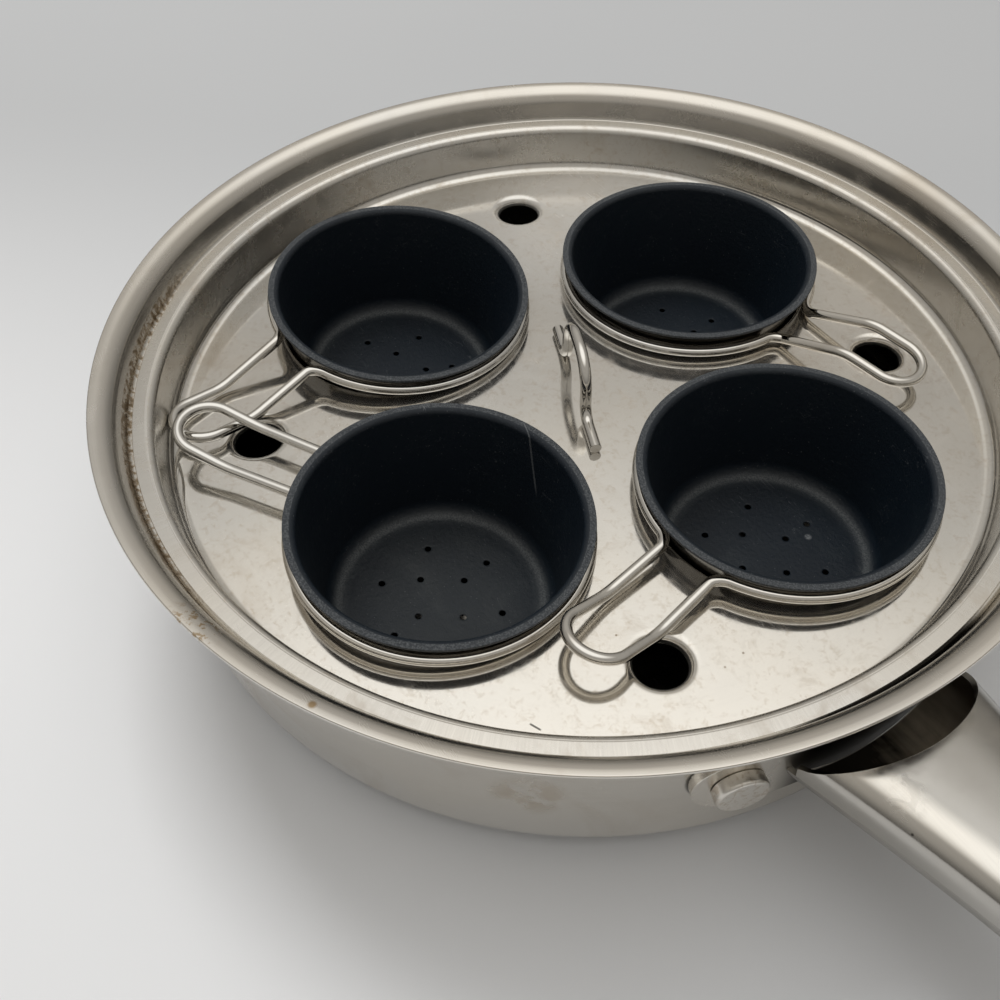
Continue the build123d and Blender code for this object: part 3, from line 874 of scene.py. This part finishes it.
def at_station(distance, column):
    """A column of the handle table on a smooth curve through its stations, rounded off over the nose."""
    beyond = (distance - NOSE_START) / HANDLE_NOSE
    if beyond > 0:
        return HANDLE_TABLE[-1][column] * sqrt(max(1 - beyond**2, 0))
    number = max(i for i, row in enumerate(HANDLE_TABLE[:-1]) if row[0] <= distance + 1e-9 or i == 0)
    first, second = HANDLE_TABLE[number], HANDLE_TABLE[number + 1]
    width = second[0] - first[0]
    t = (distance - first[0]) / width
    return (
        first[column] * (1 + 2 * t) * (1 - t) ** 2
        + second[column] * t**2 * (3 - 2 * t)
        + slope(number, column) * width * t * (1 - t) ** 2
        - slope(number + 1, column) * width * t**2 * (1 - t)
    )


# %% Extrude a shell from station to station
SHELL_ROWS = [0, 0.4, 1, 2, 3.5, 5, 7, 9, 12, 15, 18, 22, 26, 30, 34, 38, 43, 48, 54, 60, 67, 75, 84, 93, 102,
              112, 122, 132, 142, 150, 157, 162, 167, 172, 176, 179, 181.5, 184, 186, 187.6, 188.8, 189.5, 189.9]
SCOOP_LENGTH = 15.2
SCOOP_HALF = 24.4
SHELL_GAP = 0.1
SHELL_BEVEL = 0.9999
SHELL_BENDS = 20
# Along this length the rows that the scoop pushes back come to rest
FADE_LENGTH = 34
# Bevel profiles whose arch passes through this share of its width and height
UPPER_ARCH = 0.80**2
LOWER_ARCH = 0.7325**2


def handle_place(distance, across, height):
    """A point of the handle in the object's frame, from its distance along the seam."""
    along = HANDLE_ROOT + distance * cos(HANDLE_RISE) - height * sin(HANDLE_RISE)
    up = PLATE_TOP - HANDLE_DROP + distance * sin(HANDLE_RISE) + height * cos(HANDLE_RISE)
    return Vector((along, across, up)) * MM


def lower_front(across):
    """Where the lower shell starts, at a distance from the middle: just off the strap's curved face."""
    return sqrt((PAN_RADIUS + STRAP_SHEET) ** 2 - across**2) - HANDLE_ROOT + SHELL_GAP


def upper_front(across):
    """Where the upper shell starts: behind the scoop, and at the strap beside it."""
    share = min(abs(across) / SCOOP_HALF, 1)
    return max(SCOOP_LENGTH * sqrt(1 - share**2), lower_front(across))


def shell(column, sign, profile, front):
    """Half of the handle. Column is its height in the table, sign 1 for the upper and -1 for the lower one."""
    bm = bmesh.new()
    box = [bm.verts.new(point) for point in ((0, 1, 0), (0, 1, 1), (0, -1, 1), (0, -1, 0))]
    for pair in zip(box, box[1:]):
        bm.edges.new(pair)
    round_corners(bm, box[1:3], SHELL_BEVEL, SHELL_BENDS, profile)
    bmesh.ops.remove_doubles(bm, verts=bm.verts, dist=0.001)
    edges = bm.edges[:]
    for _ in SHELL_ROWS[1:]:
        grown = bmesh.ops.extrude_edge_only(bm, edges=edges)["geom"]
        bmesh.ops.translate(bm, verts=only(bmesh.types.BMVert, grown), vec=(1, 0, 0))
        edges = only(bmesh.types.BMEdge, grown)
    for vert in bm.verts:
        row, across, tall = vert.co
        distance = SHELL_ROWS[round(row)]
        start = front(across * at_station(max(front(across * at_station(0, 1)), 0), 1))
        distance += start * max(1 - distance / FADE_LENGTH, 0)
        height = sign * tall * at_station(distance, column)
        vert.co = handle_place(distance, across * at_station(distance, 1), height)
    bmesh.ops.recalc_face_normals(bm, faces=bm.faces)
    bm.normal_update()
    outermost = max(bm.faces, key=lambda face: sign * face.calc_center_median().z)
    if outermost.normal.z * sign < 0:
        bmesh.ops.reverse_faces(bm, faces=bm.faces)
    return bm


upper_bm = shell(2, 1, UPPER_ARCH, upper_front)
lower_bm = shell(3, -1, LOWER_ARCH, lower_front)

# %% [markdown]
# ## The hanging eye
# Near its end the handle has a long round hole to hang it by. The hole goes through both shells,
# and a rolled collar joins them round it. A Boolean modifier with a slot-shaped block cuts the shells.
# The modifiers are then applied, because the block must not stay in the scene.

# %% Cut the eye through both shells
EYE_FROM_END = 21.0
EYE_LENGTH = 14.0
EYE_WIDTH = 7.0
EYE_DEPTH = 16.0
EYE_CUT = 1.2
SHELL_EDGE = 0.30


def eye_matrix():
    """From flat drawing to the place of the eye in the handle."""
    middle = handle_place(HANDLE_LENGTH - EYE_FROM_END, 0, 0)
    return Matrix.Translation(middle) @ Matrix.Rotation(-HANDLE_RISE, 4, "Y")


def slot_block(length, width, low, high):
    """A block with half-round ends between two heights, at the place of the eye."""
    bm = bmesh.new()
    round_ended(bm, length / 2, width / 2, segments=12, lay=lambda x, y: (x, y, low))
    raise_faces(bm, (0, 0, high - low))
    bmesh.ops.transform(bm, matrix=eye_matrix(), verts=bm.verts)
    return bm


cutter = mesh_object(slot_block(EYE_LENGTH + EYE_CUT, EYE_WIDTH + EYE_CUT, -EYE_DEPTH, EYE_DEPTH), "eye_cutter")
for shell_bm, name, node, outside in (
    (upper_bm, "handle_top", "handle_upper_shell", "handle_steel"),
    (lower_bm, "handle_bottom", "handle_lower_shell", "handle_under_steel"),
):
    half_handle = piece(shell_bm, name, "pan", [steels[outside], inside_steel], [node])
    add_modifier(
        half_handle, "SOLIDIFY", thickness=HANDLE_SHEET * MM, offset=-1, use_even_offset=False, material_offset=1,
    )
    add_modifier(half_handle, "BOOLEAN", object=cutter, operation="DIFFERENCE", solver="EXACT")
    cut_mesh = made_mesh(half_handle)
    half_handle.modifiers.clear()
    half_handle.data = cut_mesh
    dull_edges(half_handle, SHELL_EDGE)
    print(name, "faces after the cut:", len(half_handle.data.polygons))
bpy.data.objects.remove(cutter)

# %% Roll the collar of the eye
COLLAR_TOP = 6.2
COLLAR_FOOT = -5.8
COLLAR_SHEET = 0.8

collar_bm = slot_block(EYE_LENGTH, EYE_WIDTH, COLLAR_FOOT, COLLAR_TOP)
collar_ends = [face for face in collar_bm.faces if len(face.verts) > 4]
bmesh.ops.delete(collar_bm, geom=collar_ends, context="FACES_ONLY")
collar = piece(collar_bm, "handle_eye_collar", "pan", [steels["handle_steel"]])
thicken(collar, COLLAR_SHEET, edge=0.3, offset=1)

# %% [markdown]
# ## The tray
# The tray drops into the pan and rests on the ledge with its flange. Inside a raised crest its wall goes down to a
# flat, almost mirror-bright plate with four cup seats and four steam vents.
# A flat plate with round holes is hard to model with quads, and it has no need to be: every turned edge is spun about
# its own centre, and one fill closes the flat plate between them. A narrow flat ring round each edge keeps the
# smooth shading of the bends off the plate.

# %% Spin the rim, the seats and the vents, and fill the plate
TRAY_SHEET = 0.8
TRAY_TURN = radians(68.0)
WALL_FOOT = 114.0
WALL_HEAD = 115.5
FLANGE_RADIUS = 121.35
SEAT_PITCH = 64.0
SEAT_RADIUS = 35.8
VENT_PITCH = 90.6
VENT_RADIUS = 6.6
VENT_FUNNEL = 2.4
FLAT_RING = 0.5
WIDE_RING = 0.6
WALL_REACH = 4.4
RIM_BENDS = {2: 3.6, 3: 2.0}
SEAT_EDGE = 1.6
SEAT_DEPTH = 2.4
SEAT_BEND = 0.9
VENT_EDGE = 0.05
VENT_BEND = 2.0

half_tray = TRAY_SHEET / 2
flange_middle = LEDGE_TOP - PLATE_TOP + half_tray
tray_frame = Matrix.Translation((0, 0, PLATE_TOP * MM)) @ Matrix.Rotation(TRAY_TURN, 4, "Z")


def tray_point(radius, angle, height=0.0):
    """A point of the tray, plate at zero, from its radius and its angle in degrees."""
    return Vector((radius * cos(radians(angle)), radius * sin(radians(angle)), height)) * MM


def fill_plate(bm, height):
    """Closes the flat plate between all open loops at a height."""
    bmesh.ops.remove_doubles(bm, verts=bm.verts, dist=MERGE)
    level = height * MM
    rim = [e for e in bm.edges if e.is_boundary and all(abs(v.co.z - level) < LEVEL_ERROR for v in e.verts)]
    bmesh.ops.triangle_fill(bm, use_beauty=True, use_dissolve=False, edges=rim)
    bmesh.ops.recalc_face_normals(bm, faces=bm.faces)


tray_bm = bmesh.new()
rim_corners = [
    (WALL_FOOT - WALL_REACH - WIDE_RING, -half_tray),
    (WALL_FOOT - WALL_REACH, -half_tray),
    (WALL_FOOT + half_tray, -half_tray),
    (WALL_HEAD + half_tray, flange_middle),
    (FLANGE_RADIUS - half_tray, flange_middle),
]
seat_wall = SEAT_RADIUS + half_tray
seat_corners = [
    (seat_wall + SEAT_EDGE + FLAT_RING, -half_tray),
    (seat_wall + SEAT_EDGE, -half_tray),
    (seat_wall, -half_tray),
    (seat_wall, -SEAT_DEPTH),
]
vent_wall = VENT_RADIUS + half_tray
vent_corners = [
    (vent_wall + VENT_FUNNEL + FLAT_RING, -half_tray),
    (vent_wall + VENT_FUNNEL + VENT_EDGE, -half_tray),
    (vent_wall, -half_tray),
    (vent_wall, -half_tray - VENT_FUNNEL),
]
spin_at(tray_bm, rim_corners, RIM_BENDS, steps=288, bend_steps=8)
for quarter in range(4):
    seat_place = Matrix.Translation(tray_point(SEAT_PITCH, 45 + 90 * quarter))
    spin_at(tray_bm, seat_corners, {2: SEAT_BEND}, steps=144, bend_steps=5, matrix=seat_place)
for quarter in range(4):
    vent_place = Matrix.Translation(tray_point(VENT_PITCH, 90 * quarter))
    spin_at(tray_bm, vent_corners, {2: VENT_BEND}, steps=72, bend_steps=7, matrix=vent_place)
fill_plate(tray_bm, -half_tray)
bmesh.ops.transform(tray_bm, matrix=tray_frame, verts=tray_bm.verts)
tray = piece(tray_bm, "tray_plate", "tray", [steels["tray_steel"]], ["tray"])
thicken(tray, TRAY_SHEET, edge=0.22)

# %% [markdown]
# ## The cups
# Each cup is a spun steel bowl with a flat rim, coated black inside. Ten small holes let steam and water through.
# The wall is turned and the bottom is filled round its holes. The Solidify modifier can give the far side and the cut
# edges their own material, so the outside stays bare steel while the inside and the rim are black.

# %% Turn a cup and set it on its seat
CUP_SHEET = 0.8
CUP_RIM_RADIUS = 39.4
CUP_RIM_HEIGHT = 8.8
CUP_DEPTH = 36.5
CUP_FOOT = 31.6
CUP_REACH = 6.6
COAT_START = 0.6
CORNER_RADIUS = 28.2
CORNER_WIDTH = 2.0
SEAT_CLEARANCE = 0.3
LEAN_RAISE = 0.22
LEAN_DRIFT = 0.09
HOLE_RADIUS = 1.0
HOLE_RING = 0.25
HOLE_DIP = 0.12
HOLE_ROWS = ((4, 8.6), (6, 17.3))
CUP_BENDS = {2: 5.2, 3: 1.2}
# Angles in degrees and heights in mm: the seat on the tray, the height of the wire ring, the way that the loop points,
# the lean, the side that rises, the heights of the loop's kink and of its tip, and the turn of the drain holes
CUP_COLUMNS = ("seat", "ring", "loop", "lean", "rise_to", "kink", "tip", "turn")
CUP_TABLE = {
    "back": (45.0, 2.5, -51.9, 0.0, 0.0, 8.4, 6.8, 30.0),
    "left": (135.0, 4.4, -147.1, 5.5, 139.5, 2.0, 3.4, 2.0),
    "front": (225.0, 3.2, 143.5, 3.0, 148.0, 6.2, 8.2, 35.0),
    "right": (315.0, 4.4, -146.0, 0.0, 0.0, 3.2, 6.8, 27.0),
}
CUPS = {name: dict(zip(CUP_COLUMNS, row)) for name, row in CUP_TABLE.items()}


def cup_frame(cup):
    """From a cup's own frame, plate at zero, to its leaning place on the tray."""
    lift = tray_point(LEAN_DRIFT * cup["lean"], cup["rise_to"], LEAN_RAISE * cup["lean"])
    towards = Matrix.Rotation(radians(cup["rise_to"]), 4, "Z")
    lean = towards @ Matrix.Rotation(radians(-cup["lean"]), 4, "Y") @ towards.inverted()
    return Matrix.Translation(tray_point(SEAT_PITCH, cup["seat"]) + lift) @ lean


def make_cup(name, cup):
    """Turns one cup, drills its holes, marks its rim and its corner for the coating, and sets it on its seat."""
    half = CUP_SHEET / 2
    rim = CUP_RIM_HEIGHT - half
    bottom = CUP_RIM_HEIGHT - CUP_DEPTH - half
    seat_side = SEAT_RADIUS - SEAT_CLEARANCE
    taper = (seat_side - CUP_FOOT) / (CUP_DEPTH - CUP_RIM_HEIGHT)
    mouth = seat_side + taper * CUP_RIM_HEIGHT
    wall_corners = [
        (CUP_FOOT - CUP_REACH - WIDE_RING, bottom),
        (CUP_FOOT - CUP_REACH, bottom),
        (CUP_FOOT - half, bottom),
        (mouth - half, rim),
        (CUP_RIM_RADIUS - half, rim),
    ]
    ring_start = HOLE_RADIUS + HOLE_RING
    hole_corners = [(ring_start + HOLE_RING, bottom), (ring_start, bottom), (HOLE_RADIUS, bottom - HOLE_DIP)]
    bm = bmesh.new()
    spin_at(bm, wall_corners, CUP_BENDS, steps=160, bend_steps=8)
    for count, pitch in HOLE_ROWS:
        for number in range(count):
            hole_place = Matrix.Translation(tray_point(pitch, cup["turn"] + 360 * number / count))
            spin_at(bm, hole_corners, {}, steps=24, bend_steps=0, matrix=hole_place)
    fill_plate(bm, bottom)
    rim_share = bm.verts.layers.float.new("rim")
    corner_share = bm.verts.layers.float.new("corner")
    for vert in bm.verts:
        radius = vert.co.xy.length / MM
        vert[rim_share] = 1.0 if radius > mouth + COAT_START else 0.0
        # The corner share places the coat's painted highlight
        vert[corner_share] = max(1 - abs(radius - CORNER_RADIUS) / CORNER_WIDTH, 0)
    bmesh.ops.transform(bm, matrix=tray_frame @ cup_frame(cup), verts=bm.verts)
    finishes = [steels["cup_outside_steel"], cup_coat]
    made = piece(bm, "cup_bowl_" + name, "cup_" + name, finishes, ["cup_" + name])
    thicken(made, CUP_SHEET, edge=0.18, material_offset=1, material_offset_rim=1)


for name, cup in CUPS.items():
    make_cup(name, cup)


# %% [markdown]
# ## The wires
# A wire holder is bent from one length of round wire: a ring under the cup's rim that runs out into a long loop.
# A mesh tube could be swept by hand, but a Bezier curve with a bevel is the natural tool: a few control points, whose
# handles lie along the wire, set every bend. The curve is then turned into a mesh, and its place is kept in the mesh.

# %% Bend a wire along a Bezier curve
WIRE = 3.0
RING_RADIUS = 38.2
LOOP_LEVEL = 6.2
LEG_GAP = 7.7
LEG_SPREAD = 8.1
LEG_START = 40.8
RING_BEND = 5.5
KINK_REACH = 60.0
KINK_BEND = 3.0
LOOP_CENTRE = 71.0
WIRE_RESOLUTION = 14


def bend_wire(stops, thickness, closed, sides):
    """Mesh of a wire through stops of (point, handle back, handle forward) in metres, in the object's frame."""
    curve = bpy.data.curves.new("bend", "CURVE")
    curve.dimensions = "3D"
    curve.bevel_depth = thickness / 2 * MM
    curve.bevel_resolution = sides
    curve.use_fill_caps = not closed
    spline = curve.splines.new("BEZIER")
    spline.bezier_points.add(len(stops) - 1)
    spline.use_cyclic_u = closed
    spline.resolution_u = WIRE_RESOLUTION
    for control, (point, back, forward) in zip(spline.bezier_points, stops):
        control.handle_left_type = control.handle_right_type = "FREE"
        control.co = point
        control.handle_left = back
        control.handle_right = forward
    holder = link(bpy.data.objects.new("bend", curve))
    bpy.context.view_layer.update()
    bm = bmesh.new()
    bm.from_mesh(made_mesh(holder))
    bpy.data.objects.remove(holder)
    bmesh.ops.remove_doubles(bm, verts=bm.verts, dist=0.001 * MM)
    bmesh.ops.recalc_face_normals(bm, faces=bm.faces)
    bmesh.ops.transform(bm, matrix=tray_frame, verts=bm.verts)
    return bm


def arc_reach(radius, turn):
    """Length in metres of the handles that bend a Bezier stretch into an arc of a turn in degrees."""
    return 4 / 3 * tan(radians(turn) / 4) * radius * MM


def arc_stops(place, radius, angles):
    """Stops on an arc, where place turns an angle in degrees, one of a rising row, into a point."""
    reach = arc_reach(radius, angles[1] - angles[0])
    stops = []
    for angle in angles:
        ahead = (place(angle + 0.5) - place(angle - 0.5)).normalized() * reach
        stops.append((place(angle), place(angle) - ahead, place(angle) + ahead))
    return stops


def joined(first, second):
    """Lengthens the handles between two stops to a third of the way between them."""
    reach = (second[0] - first[0]).length / 3
    out = (first[2] - first[0]).normalized() * reach
    back = (second[1] - second[0]).normalized() * reach
    return (first[0], first[1], first[0] + out), (second[0], second[0] + back, second[2])


def holder_stops(cup):
    """Stops of a holder's wire, from one end of its ring, out round the loop and back, in the tray's frame."""
    own = cup_frame(cup) @ Matrix.Rotation(radians(cup["loop"]), 4, "Z")

    def ring_point(angle):
        return own @ tray_point(RING_RADIUS, angle, cup["ring"])

    def flat(along, across, height):
        low = own @ (Vector((along, across, LOOP_LEVEL)) * MM)
        return Vector((low.x, low.y, height * MM))

    def leg(side):
        """Four (point, way) along one leg, from the ring to the loop."""
        start = own @ (Vector((LEG_START, side * LEG_GAP, cup["ring"])) * MM)
        kink = flat(KINK_REACH, side * LEG_SPREAD, cup["kink"])
        end = flat(LOOP_CENTRE, side * LEG_SPREAD, cup["tip"])
        rising = (kink - start).normalized()
        outward = (end - kink).normalized()
        before, after = kink - rising * KINK_BEND * MM, kink + outward * KINK_BEND * MM
        return [(start, rising), (before, rising), (after, outward), (end, outward)]

    far, near = leg(-1), leg(1)
    far_way, near_way = far[-1][1], near[-1][1]
    tip_middle = flat(LOOP_CENTRE, 0, cup["tip"])
    tip_across = near[-1][0] - tip_middle

    def tip_point(angle):
        forward = far_way * tip_across.length * cos(radians(angle))
        return tip_middle + tip_across * sin(radians(angle)) + forward

    gap = degrees(asin(LEG_GAP / RING_RADIUS)) + RING_BEND
    stops = arc_stops(ring_point, RING_RADIUS, [gap + (360 - 2 * gap) * step / 10 for step in range(11)])
    stops += [(point, point - way * MM, point + way * MM) for point, way in far]
    stops += arc_stops(tip_point, LEG_SPREAD, [-45, 0, 45])
    stops += [(point, point + way * MM, point - way * MM) for point, way in reversed(near)]
    # The straight stretches: from the ring's end out along the far leg, and back along the near one to its start
    for number in (10, 11, 12, 13, 18, 19, 20, 21):
        following = (number + 1) % len(stops)
        stops[number], stops[following] = joined(stops[number], stops[following])
    # The two stops where the legs run into the loop's tip
    point, back, _ = stops[14]
    stops[14] = (point, back, point + far_way * arc_reach(LEG_SPREAD, 45))
    point, _, forward = stops[18]
    stops[18] = (point, point + near_way * arc_reach(LEG_SPREAD, 45), forward)
    return stops


for name, cup in CUPS.items():
    holder_bm = bend_wire(holder_stops(cup), WIRE, closed=True, sides=6)
    nodes = ["cup_holder_" + name]
    piece(holder_bm, "cup_wire_" + name, "cup_" + name, [steels["wire_steel"]], nodes, 180)


# %% [markdown]
# ## The lift loop
# A thicker wire bent like a croquet hoop is welded to the middle of the plate, to lift the whole tray by.
# It is a Bezier curve like the holders. A rounded corner takes two control points, where its bend starts and ends.

# %% Bend the lift loop
LIFT_WIRE = 3.3
LIFT_TOP = 18.4
LIFT_HALF = 11.6
LIFT_FOOT = 25.0
LIFT_OFFSET = 1.5
LIFT_FOOT_BEND = 5.0
LIFT_CROWN_BEND = 9.4
LIFT_EDGE = 0.25


def hoop_stops():
    """Stops of the lift loop in the tray's frame; it stands on the line through two of the vents."""
    low = LIFT_WIRE / 2
    outline = [
        (-LIFT_FOOT, low), (-LIFT_HALF, low), (-LIFT_HALF, LIFT_TOP),
        (LIFT_HALF, LIFT_TOP), (LIFT_HALF, low), (LIFT_FOOT, low),
    ]
    points = [Vector((0, y + LIFT_OFFSET, z)) * MM for y, z in outline]
    ways = [(second - first).normalized() for first, second in zip(points, points[1:])]
    start, end = points[0], points[-1]
    stops = [(start, start - ways[0] * MM, start + ways[0] * MM)]
    bends = (LIFT_FOOT_BEND, LIFT_CROWN_BEND, LIFT_CROWN_BEND, LIFT_FOOT_BEND)
    for point, before, after, bend in zip(points[1:], ways, ways[1:], bends):
        entry, leave = point - before * bend * MM, point + after * bend * MM
        pull = arc_reach(bend, 90)
        stops.append((entry, entry - before * MM, entry + before * pull))
        stops.append((leave, leave - after * pull, leave + after * MM))
    return stops + [(end, end - ways[-1] * MM, end + ways[-1] * MM)]


hoop_bm = bend_wire(hoop_stops(), LIFT_WIRE, closed=False, sides=8)
hoop = piece(hoop_bm, "tray_hoop", "tray", [steels["wire_steel"]], ["tray_lift_loop"], 60)
round_edges(hoop, LIFT_EDGE, segments=2)

# %% [markdown]
# ## Floor, backdrop and light
# The pan stands on a pale seamless sheet in a bright room. Steel shows its surroundings, so the room matters more
# than the lamps: the world is a light ceiling that falls off to darker walls. One soft lamp adds the shadow.
# The lamp is hidden from mirrors, where its hard square would show. The floor's paleness is set by its colour, and so
# is the painted shade that dims it toward the right and the back.

# %% Lay the floor
FLOOR_LIGHT = (0.80, 0.815, 0.845, 1)
FLOOR_SHADED = (0.445, 0.457, 0.475, 1)
PICTURE_RIGHT = Vector((cos(CAMERA_AZIMUTH), sin(CAMERA_AZIMUTH), 0))
PICTURE_FAR = Vector((-sin(CAMERA_AZIMUTH), cos(CAMERA_AZIMUTH), 0))


def paper(name):
    """Pale paper with painted shade: dimmer to the right and to the back of the picture."""
    recipe, place = new_finish(name)
    cloud = place.noise(3.0, 2.0)
    fibre = place.noise(900.0, 3.0)
    across = place.compare("DOT_PRODUCT", PICTURE_RIGHT * 0.24 + PICTURE_FAR)
    shade = (across.step(-0.10, 0.20) * 0.9 + cloud * 0.1).clamped()
    colour = recipe.mix(shade, FLOOR_LIGHT, FLOOR_SHADED)
    normal = recipe.bump(fibre, 10 * MICRON)
    return recipe.finish(Base_Color=colour, Roughness=0.85 + cloud * 0.1, Normal=normal)


floor_bm = bmesh.new()
bmesh.ops.create_grid(floor_bm, x_segments=1, y_segments=1, size=12.0)
floor = mesh_object(floor_bm, "floor")
floor.data.materials.append(paper("floor_paper"))

# %% Light the room
WINDOW_COLOUR = (1.0, 0.985, 0.96)
ROOM_WARM = (1.0, 0.955, 0.88, 1)
ROOM_PALE = (1.0, 0.985, 0.95, 1)
scene.view_settings.view_transform = "Standard"


def toward(azimuth, elevation):
    """Unit vector toward a point of the sky, from degrees."""
    flat = cos(radians(elevation))
    return Vector((flat * cos(radians(azimuth)), flat * sin(radians(azimuth)), sin(radians(elevation))))


def soft_lamp(name, way, far, size, power, colour):
    """A square area lamp that looks at the pan from a direction; metres and watts."""
    data = bpy.data.lights.new(name, "AREA")
    data.shape = "SQUARE"
    data.size = size
    data.energy = power
    data.color = colour
    lamp = link(bpy.data.objects.new(name, data))
    lamp.location = way * far
    lamp.rotation_mode = "QUATERNION"
    lamp.rotation_quaternion = way.to_track_quat("Z", "Y")
    lamp.visible_glossy = False


def glow(way, azimuth, elevation, outer, inner):
    """1 round a point of the sky and 0 beyond an angle, in degrees."""
    towards = way.compare("DOT_PRODUCT", toward(azimuth, elevation))
    return towards.step(cos(radians(outer)), cos(radians(inner)))


soft_lamp("window", toward(178, 58), far=1.4, size=0.55, power=9.0, colour=WINDOW_COLOUR)

room = Recipe(bpy.data.worlds.new("room"))
scene.world = room.holder
way = room.add("ShaderNodeTexCoord", output="Generated")
walls = way.parts()[2].step(-0.1, 0.62) * 0.26 + 0.15
ceiling = glow(way, 145, 84, 44, 16)
far_wall = glow(way, 148, 33, 34, 8)
light = {"Color": room.mix(ceiling, ROOM_WARM, ROOM_PALE), "Strength": walls + ceiling * 0.86 + far_wall * 0.07}
room.add("ShaderNodeOutputWorld", inputs={"Surface": room.add("ShaderNodeBackground", inputs=light)})
